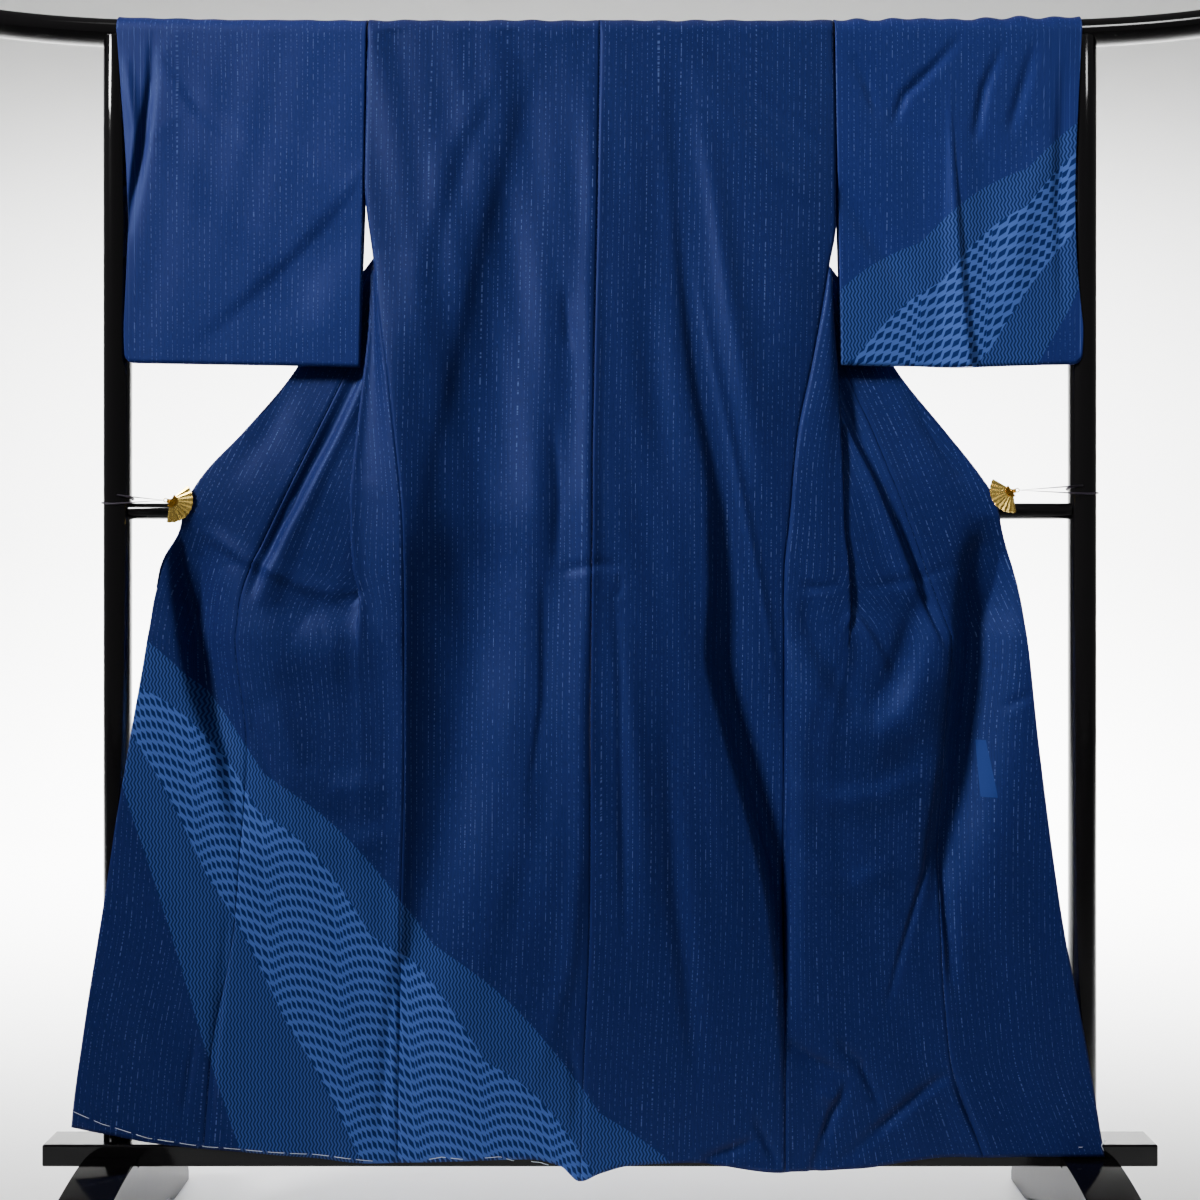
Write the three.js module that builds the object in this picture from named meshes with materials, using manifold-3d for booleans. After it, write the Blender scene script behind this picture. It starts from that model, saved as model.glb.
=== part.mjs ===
// A woman's kimono hung over the top rail of a lacquered stand, seen from behind.
// Millimetres, +Z up. The kimono's back faces -Y. The stand is centred on the origin and stands on Z = 0.
import * as THREE from "three";
import { mergeVertices } from "three/addons/utils/BufferGeometryUtils.js";
import Module from "manifold-3d";

const wasm = await Module();
wasm.setup();

// ---- driving dimensions ----
const CLOTH = 1.4; // wall of every cloth panel
const COLLAR_CLOTH = 1.8; // wall of the collar, which is folded double
const GAP = 0.3; // between two pieces that touch
const RAIL_RADIUS = 19;
const RAIL_HALF_LENGTH = 915;
const RAIL_CENTRE_Z = 1711; // at mid length
const RAIL_RISE = 5; // how much higher the rail is over the posts than at mid length
const POST_X = 684;
const POST_RADIUS = 19.5;
const BAR_RADIUS = 11.5; // middle rail
const BAR_Z = 1038;
const PLANK = { length: 1564, depth: 53, bottom: 118, top: 149, edge: 3 };
const FOOT = { width: 75, reach: 216, shoulder: 131, toe: 14, arch: 22, archReach: 132 };
const DRAPE_RADIUS = RAIL_RADIUS + 3 * GAP + CLOTH / 2; // the middle of the cloth on the rail
const DRAPE_ANGLES = [0, 22.5, 45, 67.5, 90, 112.5, 135, 157.5]; // round the rail, front to rear
const COLLAR_WIDTH = 55;
const SHOULDER_Z = 1706; // where back and front part, behind the rail

const LACQUER = { color: 0x0a0909, roughness: 0.12, metalness: 0 };
const NAVY = { color: 0x1b3d80, roughness: 0.55, metalness: 0 };
const GOLD = { color: 0xd9a93c, roughness: 0.28, metalness: 1 };
const ELASTIC = { color: 0x1c1224, roughness: 0.8, metalness: 0 };

// ---- the cloth's sizes ----
// Heights of the rings that the body panels are worked out on, from hem to shoulder.
const LEVELS = [200, 282, 370, 470, 590, 710, 790, 856, 905, 957, 1016, 1050, 1090, 1150, 1232, 1300,
  1382, 1440, 1500, 1570, 1640, 1690];

// One table a side. Each column is a distance out from the middle plane, at height z: the side seam,
// the outer roll beside it, the inner fold behind it, the ridge beside the overlap panel, the overlap
// panel's seam (join) and the front edge, which the collar is sewn to.
const LEFT = [
  { z: 130, seam: 283, roll: 325, tuck: 365, ridge: 480, join: 554, edge: 739 },
  { z: 282, seam: 281, roll: 322, tuck: 360, ridge: 470, join: 543, edge: 725 },
  { z: 470, seam: 278, roll: 315, tuck: 350, ridge: 440, join: 510, edge: 697 },
  { z: 710, seam: 273, roll: 308, tuck: 340, ridge: 420, join: 498, edge: 659 },
  { z: 856, seam: 273, roll: 300, tuck: 322, ridge: 425, join: 512, edge: 634 },
  { z: 905, seam: 273, roll: 326, tuck: 300, ridge: 478, join: 506, edge: 627 },
  { z: 957, seam: 273, roll: 345, tuck: 296, ridge: 466, join: 490, edge: 617 },
  { z: 1016, seam: 274, roll: 350, tuck: 298, ridge: 440, join: 463, edge: 590 },
  { z: 1050, seam: 276, roll: 350, tuck: 300, ridge: 421, join: 447, edge: 580 },
  { z: 1090, seam: 280, roll: 348, tuck: 294, ridge: 402, join: 428, edge: 556 },
  { z: 1150, seam: 287, roll: 342, tuck: 275, ridge: 370, join: 400, edge: 502 },
  { z: 1232, seam: 297, roll: 333, tuck: 241, ridge: 333, join: 362, edge: 436 },
  { z: 1300, seam: 308, roll: 326, tuck: 220, ridge: 306, join: 336, edge: 397 },
  { z: 1382, seam: 318, roll: 323, tuck: 192, ridge: 272, join: 306, edge: 338 },
  { z: 1500, seam: 325, roll: 312, tuck: 169, ridge: 210, join: 246, edge: 250 },
  { z: 1640, seam: 326, roll: 312, tuck: 115, ridge: 130, join: 142, edge: 146 },
  { z: 1690, seam: 326, roll: 312, tuck: 99, ridge: 104, join: 105, edge: 109 },
];
const RIGHT = [
  { z: 130, seam: 259, roll: 300, tuck: 340, ridge: 455, join: 536, edge: 705 },
  { z: 282, seam: 259, roll: 297, tuck: 335, ridge: 425, join: 488, edge: 681 },
  { z: 470, seam: 259, roll: 295, tuck: 330, ridge: 415, join: 477, edge: 646 },
  { z: 710, seam: 259, roll: 293, tuck: 325, ridge: 410, join: 483, edge: 614 },
  { z: 856, seam: 259, roll: 300, tuck: 325, ridge: 420, join: 494, edge: 600 },
  { z: 905, seam: 258, roll: 350, tuck: 298, ridge: 452, join: 477, edge: 594 },
  { z: 957, seam: 259, roll: 348, tuck: 288, ridge: 438, join: 458, edge: 583 },
  { z: 1016, seam: 265, roll: 343, tuck: 282, ridge: 415, join: 437, edge: 564 },
  { z: 1050, seam: 268, roll: 342, tuck: 282, ridge: 401, join: 425, edge: 556 },
  { z: 1090, seam: 271, roll: 341, tuck: 278, ridge: 384, join: 409, edge: 532 },
  { z: 1150, seam: 278, roll: 339, tuck: 266, ridge: 353, join: 386, edge: 487 },
  { z: 1232, seam: 295, roll: 335, tuck: 241, ridge: 320, join: 350, edge: 424 },
  { z: 1300, seam: 306, roll: 330, tuck: 220, ridge: 296, join: 326, edge: 384 },
  { z: 1382, seam: 317, roll: 324, tuck: 192, ridge: 262, join: 300, edge: 334 },
  { z: 1500, seam: 327, roll: 314, tuck: 169, ridge: 208, join: 242, edge: 246 },
  { z: 1640, seam: 328, roll: 314, tuck: 115, ridge: 130, join: 140, edge: 144 },
  { z: 1690, seam: 328, roll: 314, tuck: 99, ridge: 104, join: 105, edge: 109 },
];

// How far forward (-Y) or back (+Y) each layer hangs. back: the back panel and the side seam;
// inner: the front panel between roll and inner fold; outer: from the inner fold to the front edge.
const DEPTHS = [
  { z: 130, back: -30, inner: -30, outer: -30 },
  { z: 470, back: -29.5, inner: -29.5, outer: -29 },
  { z: 710, back: -29.5, inner: -29, outer: -28 },
  { z: 856, back: -29, inner: -28, outer: -26 },
  { z: 905, back: -29, inner: -25, outer: -22 },
  { z: 1050, back: -28.5, inner: -24.5, outer: -20.5 },
  { z: 1150, back: -26, inner: -16, outer: -9 },
  { z: 1232, back: -25, inner: -8, outer: 1 },
  { z: 1382, back: -23.5, inner: 7, outer: 17 },
  { z: 1500, back: -22.5, inner: 15, outer: 24 },
  { z: 1640, back: -21, inner: 20.3, outer: 26 },
  { z: 1706, back: -20.3, inner: 20.3, outer: 22 },
];

// The centre back seam, the trough of the long fold on each side of it and that fold's depth.
const BACK_FOLDS = [
  { z: 130, centre: -27, left: 292, right: 268, depth: 6 },
  { z: 337, centre: -18, left: 286, right: 236, depth: 9 },
  { z: 492, centre: -14, left: 262, right: 214, depth: 14 },
  { z: 660, centre: -13, left: 241, right: 179, depth: 17 },
  { z: 828, centre: -12, left: 224, right: 153, depth: 17 },
  { z: 996, centre: -11, left: 213, right: 149, depth: 14 },
  { z: 1122, centre: -9, left: 191, right: 140, depth: 11 },
  { z: 1277, centre: -7, left: 165, right: 112, depth: 7 },
  { z: 1500, centre: -3, left: 150, right: 95, depth: 2 },
  { z: 1706, centre: 0, left: 140, right: 90, depth: 0 },
];

// The valley that falls from the clip through the overlap panel.
const VALLEYS = {
  left: [
    { z: 700, out: 505, depth: 0 },
    { z: 744, out: 533, depth: 6 },
    { z: 828, out: 559, depth: 12 },
    { z: 912, out: 569, depth: 15 },
    { z: 965, out: 575, depth: 12 },
    { z: 1012, out: 576, depth: 0 },
  ],
  right: [
    { z: 470, out: 485, depth: 0 },
    { z: 575, out: 500, depth: 5 },
    { z: 744, out: 533, depth: 11 },
    { z: 912, out: 547, depth: 15 },
    { z: 965, out: 549, depth: 12 },
    { z: 1012, out: 548, depth: 0 },
  ],
};

// The hem's height across the kimono.
const HEM = [
  { x: -739, z: 175 }, { x: -610, z: 151 }, { x: -420, z: 134 }, { x: -315, z: 125 },
  { x: -100, z: 132 }, { x: -56, z: 123 }, { x: -28, z: 101 }, { x: 0, z: 112 }, { x: 42, z: 123 },
  { x: 126, z: 127 }, { x: 252, z: 113 }, { x: 357, z: 117 }, { x: 483, z: 133 }, { x: 710, z: 134 },
];

const SIDES = {
  left: { name: "left", sign: -1, table: LEFT, valley: VALLEYS.left },
  right: { name: "right", sign: 1, table: RIGHT, valley: VALLEYS.right },
};

// ---- small helpers ----
const clamp = (v, lo, hi) => Math.min(hi, Math.max(lo, v));
const mix = (a, b, t) => a + (b - a) * t;
const bell = (distance, width) => Math.exp(-((distance / width) ** 2));

// Reads column of a table at key, by straight lines between its rows.
function read(table, key, value, column) {
  const last = table.length - 1;
  if (value <= table[0][key]) return table[0][column];
  if (value >= table[last][key]) return table[last][column];
  const i = table.findIndex((row) => row[key] > value);
  const [a, b] = [table[i - 1], table[i]];
  return mix(a[column], b[column], (value - a[key]) / (b[key] - a[key]));
}
const railZ = (x) => RAIL_CENTRE_Z + RAIL_RISE * (Math.abs(x) / POST_X) ** 6;
const hemZ = (x) => read(HEM, "x", x, "z");
const depth = (z, layer) => read(DEPTHS, "z", z, layer);

// ---- walls of cloth ----
// A sheet is a grid of points down the middle of the cloth; grid[row][column].
function normalsOf(grid, loop = false) {
  const rows = grid.length;
  const cols = grid[0].length;
  return grid.map((row, i) => row.map((_, j) => {
    const up = grid[Math.min(i + 1, rows - 1)][j].clone().sub(grid[Math.max(i - 1, 0)][j]);
    const next = loop ? row[(j + 1) % cols] : row[Math.min(j + 1, cols - 1)];
    const before = loop ? row[(j + cols - 1) % cols] : row[Math.max(j - 1, 0)];
    return up.cross(next.clone().sub(before)).normalize();
  }));
}

// Two sheets that meet along one column share its normals, so that their edges stay parallel.
function shareNormals(a, colA, b, colB) {
  const rows = Math.min(a.grid.length, b.grid.length);
  for (let i = 0; i < rows; i++) {
    if (a.grid[i][colA].distanceTo(b.grid[i][colB]) > 1) continue;
    const sum = a.normals[i][colA].clone().add(b.normals[i][colB]).normalize();
    a.normals[i][colA] = sum;
    b.normals[i][colB] = sum.clone();
  }
}

// Draws the sheet's edge columns back by half a seam gap.
function drawBack(sheet, columns, by = GAP / 2) {
  const last = sheet.grid[0].length - 1;
  for (const row of sheet.grid) {
    for (const j of columns) {
      const inward = row[j === 0 ? 1 : last - 1].clone().sub(row[j]).setLength(by);
      row[j] = row[j].clone().add(inward);
    }
  }
}

// Thickens a sheet into a closed wall. loop joins each row's end to its start.
function wall({ grid, normals }, thickness, loop = false) {
  const rows = grid.length;
  const cols = grid[0].length;
  const positions = [];
  const index = [];
  for (const side of [1, -1]) {
    for (let i = 0; i < rows; i++) {
      for (let j = 0; j < cols; j++) {
        const p = grid[i][j].clone().addScaledVector(normals[i][j], (side * thickness) / 2);
        positions.push(p.x, p.y, p.z);
      }
    }
  }
  const under = rows * cols;
  const at = (i, j) => i * cols + (j % cols);
  const quad = (a, b, c, d) => index.push(a, b, c, a, c, d);
  const spans = loop ? cols : cols - 1;
  for (let i = 0; i < rows - 1; i++) {
    for (let j = 0; j < spans; j++) {
      const [a, b, c, d] = [at(i, j), at(i, j + 1), at(i + 1, j + 1), at(i + 1, j)];
      quad(a, d, c, b);
      quad(a + under, b + under, c + under, d + under);
    }
  }
  for (let j = 0; j < spans; j++) {
    quad(at(0, j), at(0, j + 1), at(0, j + 1) + under, at(0, j) + under);
    quad(at(rows - 1, j + 1), at(rows - 1, j), at(rows - 1, j) + under, at(rows - 1, j + 1) + under);
  }
  for (let i = 0; i < rows - 1 && !loop; i++) {
    quad(at(i + 1, 0), at(i, 0), at(i, 0) + under, at(i + 1, 0) + under);
    quad(at(i, cols - 1), at(i + 1, cols - 1), at(i + 1, cols - 1) + under, at(i, cols - 1) + under);
  }
  return facingOut(positions, index);
}

// Makes the geometry, and turns its faces over if they point in.
function facingOut(positions, index) {
  let volume = 0;
  const [a, b, c] = [new THREE.Vector3(), new THREE.Vector3(), new THREE.Vector3()];
  for (let k = 0; k < index.length; k += 3) {
    a.fromArray(positions, 3 * index[k]);
    b.fromArray(positions, 3 * index[k + 1]);
    c.fromArray(positions, 3 * index[k + 2]);
    volume += a.dot(b.cross(c));
  }
  const geometry = new THREE.BufferGeometry();
  geometry.setAttribute("position", new THREE.Float32BufferAttribute(positions, 3));
  geometry.setIndex(volume > 0 ? index : index.reverse());
  geometry.computeVertexNormals();
  return geometry;
}

// ---- joining and cutting ----
function solid(geometry) {
  const bare = geometry.clone();
  bare.deleteAttribute("normal");
  bare.deleteAttribute("uv");
  const merged = mergeVertices(bare, 1e-4);
  return new wasm.Manifold(new wasm.Mesh({
    numProp: 3,
    vertProperties: new Float32Array(merged.attributes.position.array),
    triVerts: new Uint32Array(merged.index.array),
  }));
}

function geometryOf(manifold) {
  const mesh = manifold.getMesh();
  const geometry = new THREE.BufferGeometry();
  geometry.setAttribute("position", new THREE.BufferAttribute(new Float32Array(mesh.vertProperties), 3));
  geometry.setIndex(Array.from(mesh.triVerts));
  geometry.computeVertexNormals();
  return geometry;
}

function piece(name, geometry, finish) {
  const mesh = new THREE.Mesh(geometry, new THREE.MeshStandardMaterial({ ...finish, name }));
  mesh.name = name;
  return mesh;
}

// ---- the stand ----
// A round bar along a path in the X-Z plane, with flat ends.
function barAlong(path, radius, sides) {
  const rings = path.map((p, i) => {
    const along = path[Math.min(i + 1, path.length - 1)].clone().sub(path[Math.max(i - 1, 0)]).normalize();
    const upward = new THREE.Vector3(-along.z, 0, along.x);
    return Array.from({ length: sides }, (_, k) => {
      const angle = (2 * Math.PI * k) / sides;
      return p.clone().addScaledVector(upward, radius * Math.sin(angle))
        .add(new THREE.Vector3(0, radius * Math.cos(angle), 0));
    });
  });
  return capped(rings);
}

// A closed skin over rings of points, with a flat cap at each end.
function capped(rings) {
  const sides = rings[0].length;
  const positions = rings.flat().flatMap((p) => [p.x, p.y, p.z]);
  const index = [];
  for (let i = 0; i < rings.length - 1; i++) {
    for (let k = 0; k < sides; k++) {
      const [a, b] = [i * sides + k, i * sides + ((k + 1) % sides)];
      index.push(a, b, b + sides, a, b + sides, a + sides);
    }
  }
  for (let k = 1; k < sides - 1; k++) {
    const last = (rings.length - 1) * sides;
    index.push(0, k + 1, k, last, last + k, last + k + 1);
  }
  return facingOut(positions, index);
}

function topRail(radius = RAIL_RADIUS, sides = 24) {
  const stations = [0, 300, 480, 580, 650, 700, 750, 795, 835, 875, 905, RAIL_HALF_LENGTH];
  const half = stations.map((x) => new THREE.Vector3(x, 0, railZ(x)));
  const mirrored = half.slice(1).reverse().map((p) => new THREE.Vector3(-p.x, 0, p.z));
  return barAlong([...mirrored, ...half], radius, sides);
}

function post(sign) {
  const top = RAIL_CENTRE_Z + RAIL_RISE;
  const bottom = PLANK.top + GAP;
  const bar = new THREE.CylinderGeometry(POST_RADIUS, POST_RADIUS, top - bottom, 28);
  bar.rotateX(Math.PI / 2).translate(sign * POST_X, 0, (top + bottom) / 2);
  return geometryOf(solid(bar).subtract(solid(topRail(RAIL_RADIUS + GAP, 28))));
}

function middleRail() {
  let bar = solid(new THREE.CylinderGeometry(BAR_RADIUS, BAR_RADIUS, 2 * POST_X, 20)
    .rotateZ(Math.PI / 2).translate(0, 0, BAR_Z));
  for (const sign of [-1, 1]) {
    const round = new THREE.CylinderGeometry(POST_RADIUS + GAP, POST_RADIUS + GAP, 80, 28);
    const beyond = new THREE.BoxGeometry(80, 80, 80).translate(sign * (POST_X + 40), 0, BAR_Z);
    bar = bar.subtract(solid(round.rotateX(Math.PI / 2).translate(sign * POST_X, 0, BAR_Z)));
    bar = bar.subtract(solid(beyond));
  }
  return geometryOf(bar);
}

// The bottom beam, its long edges slightly rounded.
function plank() {
  const { length, depth: deep, bottom, top, edge } = PLANK;
  const outline = new THREE.Shape();
  const [y, low, high] = [deep / 2, bottom, top];
  outline.moveTo(-y + edge, low);
  outline.lineTo(y - edge, low);
  outline.quadraticCurveTo(y, low, y, low + edge);
  outline.lineTo(y, high - edge);
  outline.quadraticCurveTo(y, high, y - edge, high);
  outline.lineTo(-y + edge, high);
  outline.quadraticCurveTo(-y, high, -y, high - edge);
  outline.lineTo(-y, low + edge);
  outline.quadraticCurveTo(-y, low, -y + edge, low);
  return extrudedAlongX(outline, length, 0, 3);
}

// Extrudes an outline drawn in Y and Z along X, centred on x.
function extrudedAlongX(outline, length, x, curveSegments) {
  const geometry = new THREE.ExtrudeGeometry(outline, { depth: length, bevelEnabled: false, curveSegments });
  geometry.rotateY(Math.PI / 2).rotateX(Math.PI / 2).translate(x - length / 2, 0, 0);
  return geometry;
}

// A foot: two arms that fall to their toes, an arch beneath and a notch on top that holds the plank.
function foot(sign) {
  const { width, reach, shoulder, toe, arch, archReach } = FOOT;
  const notch = PLANK.depth / 2 + GAP;
  const outline = new THREE.Shape();
  outline.moveTo(-reach, 0);
  outline.lineTo(-archReach - 14, 0);
  outline.quadraticCurveTo(-archReach, 1, -archReach + 12, arch * 0.55);
  outline.quadraticCurveTo(-archReach * 0.55, arch, 0, arch);
  outline.quadraticCurveTo(archReach * 0.55, arch, archReach - 12, arch * 0.55);
  outline.quadraticCurveTo(archReach, 1, archReach + 14, 0);
  outline.lineTo(reach, 0);
  outline.lineTo(reach + 0.01, toe);
  outline.bezierCurveTo(reach - 20, 62, reach - 62, shoulder - 24, 125, shoulder - 17);
  outline.quadraticCurveTo(70, shoulder - 2, notch, shoulder);
  outline.lineTo(notch, PLANK.bottom - GAP);
  outline.lineTo(-notch, PLANK.bottom - GAP);
  outline.lineTo(-notch, shoulder);
  outline.quadraticCurveTo(-70, shoulder - 2, -125, shoulder - 17);
  outline.bezierCurveTo(-reach + 62, shoulder - 24, -reach + 20, 62, -reach - 0.01, toe);
  outline.lineTo(-reach, 0);
  return extrudedAlongX(outline, width, sign * POST_X, 6);
}

// ---- the body panels ----
// The point on the rail's drape at an angle: 0 is its front, 90 its top, 180 its rear.
function onRail(x, degrees, lift = 0) {
  const angle = THREE.MathUtils.degToRad(degrees);
  const r = DRAPE_RADIUS + lift;
  return new THREE.Vector3(x, -r * Math.cos(angle), railZ(x) + r * Math.sin(angle));
}

// How far forward the back panel stands at (x, z): two long troughs, and full cloth between them.
function backY(x, z, side) {
  const trough = side.sign * read(BACK_FOLDS, "z", z, side.name);
  const seam = side.sign * read(side.table, "z", z, "seam");
  const fullness = read(BACK_FOLDS, "z", z, "depth");
  const beside = clamp(Math.abs(x - seam) / 60, 0, 1);
  return depth(z, "back") - fullness * (1 - bell(x - trough, 20)) * beside;
}

function backSheet(side) {
  const grid = [];
  const row = (z, atHem) => {
    const centre = read(BACK_FOLDS, "z", z, "centre");
    const trough = side.sign * read(BACK_FOLDS, "z", z, side.name);
    const seam = side.sign * read(side.table, "z", z, "seam");
    const inner = trough - side.sign * 26;
    const outer = clamp(Math.abs(trough) + 24, 0, Math.abs(seam) - 12) * side.sign;
    const mid = clamp(Math.abs(trough), 0, Math.abs(seam) - 22) * side.sign;
    const xs = [centre, mix(centre, inner, 0.22), mix(centre, inner, 0.5), mix(centre, inner, 0.78),
      inner, mix(inner, mid, 0.62), mid, mix(mid, outer, 0.45), outer, mix(outer, seam, 0.5), seam];
    return xs.map((x) => new THREE.Vector3(x, backY(x, z, side), atHem ? hemZ(x) : z));
  };
  grid.push(row(130, true));
  for (const z of LEVELS) grid.push(row(z, false));
  const top = grid[grid.length - 1].map((p) => p.x);
  for (const degrees of DRAPE_ANGLES) grid.push(top.map((x) => onRail(x, degrees)));
  grid.push(top.map((x) => new THREE.Vector3(x, DRAPE_RADIUS, SHOULDER_Z + GAP / 2)));
  return { grid, normals: normalsOf(grid) };
}

// One ring of a front panel: thirteen points from the side seam to the overlap panel's seam.
function frontRow(side, z, height = () => z) {
  const at = (column) => read(side.table, "z", z, column);
  const [seam, roll, tuck, ridge, join] = ["seam", "roll", "tuck", "ridge", "join"].map(at);
  const [back, inner, outer] = ["back", "inner", "outer"].map((layer) => depth(z, layer));
  const turn = 4; // how far the cloth runs straight beside a fold
  const fold = clamp((z - 856) / 49, 0, 1); // 0 where the cloth hangs flat, 1 where it is folded
  const side2 = 2 * fold - 1;
  const crest = 5 * clamp((z - 900) / 50, 0, 1) * clamp((1330 - z) / 100, 0, 1);
  let start;
  if (z > 1400) {
    // above the side seam the panel's edge is free, or is sewn to the sleeve
    start = [[seam, inner], [seam - 5, inner], [roll, inner], [roll - 8, inner]];
  } else {
    start = [[seam, back], [mix(seam, roll, 0.8), back], [roll, mix(back, inner, 0.5)],
      [roll - side2 * turn, inner]];
  }
  const points = [
    ...start,
    [mix(roll, tuck, 0.5), inner],
    [tuck + side2 * turn, inner],
    [tuck, mix(inner, outer, 0.5)],
    [tuck + turn, outer],
    [mix(tuck, ridge, 0.4), outer],
    [mix(tuck, ridge, 0.75), outer - crest * 0.4],
    [ridge, outer - crest],
    [mix(ridge, join, 0.3), outer + crest * 0.3],
    [join, outer],
  ];
  return points.map(([out, y]) => new THREE.Vector3(side.sign * out, y, height(side.sign * out)));
}

function frontSheet(side) {
  const grid = [frontRow(side, 130, hemZ)];
  for (const z of LEVELS) grid.push(frontRow(side, z));
  const [seam, neck] = [read(side.table, "z", 1706, "seam"), 93];
  const shares = [0, 0.02, 0.06, 0.1, 0.4, 0.66, 0.74, 0.8, 0.85, 0.89, 0.93, 0.97, 1];
  grid.push(shares.map((s) => new THREE.Vector3(side.sign * mix(seam, neck, s), DRAPE_RADIUS,
    SHOULDER_Z - GAP / 2)));
  return { grid, normals: normalsOf(grid) };
}

// ---- the overlap panels ----
const OKUMI_TOP = 1485;

function okumiY(side, out, z) {
  const valley = bell(out - read(side.valley, "z", z, "out"), 16) * read(side.valley, "z", z, "depth");
  return depth(z, "outer") + valley;
}

function okumiRow(side, z, height = () => z) {
  const [join, edge] = ["join", "edge"].map((column) => read(side.table, "z", z, column));
  return [0, 0.2, 0.38, 0.5, 0.62, 0.8, 1].map((share) => {
    const out = mix(join, edge, share);
    return new THREE.Vector3(side.sign * out, okumiY(side, out, z), height(side.sign * out));
  });
}

function okumiSheet(side) {
  const grid = [okumiRow(side, 130, hemZ)];
  for (const z of LEVELS.filter((level) => level < OKUMI_TOP)) grid.push(okumiRow(side, z));
  return { grid, normals: normalsOf(grid) };
}

// ---- the collar ----
const COLLAR_END = 930;

// The collar's seam line, from the left collar end round the neck to the right one. down is the
// direction in which the strip lies from its seam.
function collarStations() {
  const heights = [COLLAR_END, ...LEVELS.filter((z) => z > COLLAR_END)];
  const along = (side) => heights.map((z) => {
    const out = read(side.table, "z", z, "edge");
    const above = read(side.table, "z", z + 20, "edge");
    const slope = new THREE.Vector2(20, out - above).normalize();
    const turn = z > 1600 ? 1 : clamp((z - 960) / 120, 0.35, 1);
    return {
      seam: new THREE.Vector3(side.sign * out, depth(z, "outer"), z),
      clear: z > 1600 ? 1.5 : 0,
      down: new THREE.Vector2(-side.sign * mix(1, slope.x, turn), -slope.y * turn).normalize(),
      side,
    };
  });
  const neck = [-80, -55, -20, 20, 55, 80].map((x) => ({
    seam: new THREE.Vector3(x, DRAPE_RADIUS, SHOULDER_Z - GAP / 2),
    down: new THREE.Vector2(-x / 150, -1).normalize(),
  }));
  return [...along(SIDES.left), ...neck, ...along(SIDES.right).reverse()];
}

// The strip turned under behind the front edge: it leaves its seam, turns and lies flat behind.
function collarSheet() {
  const behind = 3.7;
  const grid = collarStations().map(({ seam, down, side, clear }) => {
    const reach = [0, side ? -1.6 : 4, side ? 1 : 9, COLLAR_WIDTH * 0.5, COLLAR_WIDTH];
    const back = side ? [0, behind * 0.5, behind, behind, behind] : [0.4, 2.6, 4.4, 7, 8];
    return reach.map((r, k) => {
      const x = seam.x + down.x * r;
      const z = seam.z + down.y * r;
      if (!side) return new THREE.Vector3(x, seam.y + back[k], z);
      const valley = k > 1 ? read(side.valley, "z", z, "depth") : 0;
      return new THREE.Vector3(x, depth(z, "outer") + valley + clear + back[k], z);
    });
  });
  return { grid, normals: normalsOf(grid) };
}

// ---- the sleeves ----
// top: how far out the ring crosses the rail; low and lowZ: where it ends at the foot of the bag,
// first down the sewn outer edge, round the corner, then along the bottom to the body.
const SLEEVE_RINGS = {
  left: [
    { top: 679, low: 664, lowZ: 1500 }, { top: 662, low: 663, lowZ: 1440 },
    { top: 645, low: 666, lowZ: 1360 }, { top: 628, low: 669, lowZ: 1290 },
    { top: 612, low: 668, lowZ: 1258 }, { top: 596, low: 658, lowZ: 1246 },
    { top: 566, low: 620, lowZ: 1245 }, { top: 520, low: 560, lowZ: 1244 },
    { top: 470, low: 500, lowZ: 1243 }, { top: 420, low: 440, lowZ: 1242 },
    { top: 372, low: 385, lowZ: 1241 }, { top: 328, low: 338, lowZ: 1240 },
  ],
  right: [
    { top: 677, low: 667, lowZ: 1500 }, { top: 662, low: 668, lowZ: 1440 },
    { top: 645, low: 672, lowZ: 1360 }, { top: 628, low: 679, lowZ: 1290 },
    { top: 612, low: 678, lowZ: 1258 }, { top: 596, low: 668, lowZ: 1244 },
    { top: 566, low: 625, lowZ: 1243 }, { top: 520, low: 560, lowZ: 1241 },
    { top: 470, low: 500, lowZ: 1239 }, { top: 420, low: 440, lowZ: 1241 },
    { top: 372, low: 385, lowZ: 1242 }, { top: 330, low: 339, lowZ: 1243 },
  ],
};
const SLEEVE_STEPS = 8; // down each layer of the bag

// The depth of a sleeve's layer (-1 front, 1 back) a share of the way down, out from the middle by out.
function sleeveY(layer, share, out) {
  const foot = -16; // the bag's bottom lies this far forward
  const half = mix(DRAPE_RADIUS + 0.6, 3, share ** 0.9);
  const middle = mix(0, foot, share);
  const ripple = 2.2 * Math.sin(out / 23) * Math.sin(Math.PI * share);
  return middle + layer * half + ripple;
}

// Where the bag passes a post it keeps clear of it.
function clearOfPost(p, side) {
  const axis = new THREE.Vector2(side.sign * POST_X, 0);
  const away = new THREE.Vector2(p.x, p.y).sub(axis);
  const least = POST_RADIUS + CLOTH / 2 + 1.2;
  if (p.z > RAIL_CENTRE_Z - 5 || away.length() >= least) return p;
  away.setLength(least);
  return new THREE.Vector3(axis.x + away.x, axis.y + away.y, p.z);
}

function sleeveSheet(side) {
  const rings = SLEEVE_RINGS[side.name];
  const grid = rings.map(({ top, low, lowZ }, i) => {
    const down = (layer) => Array.from({ length: SLEEVE_STEPS }, (_, k) => {
      const share = (k + 1) / SLEEVE_STEPS;
      // the rear layer draws in beside the post, so the cuff stands open round it
      const drawIn = layer > 0 ? 30 * Math.sin(Math.PI * Math.min(share, 0.5)) * clamp(1 - i / 5, 0, 1) : 0;
      const out = mix(top, low, share) - drawIn * (share < 0.95 ? 1 : 0.3);
      const z = mix(railZ(top), lowZ, share);
      return clearOfPost(new THREE.Vector3(side.sign * out, sleeveY(layer, share, out), z), side);
    });
    const over = [...DRAPE_ANGLES, 180].map((degrees) => onRail(side.sign * top, degrees, 0.3));
    const front = down(-1);
    const rear = down(1);
    return [...over, ...rear, ...front.reverse()];
  });
  return { grid, normals: normalsOf(grid, true) };
}

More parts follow.
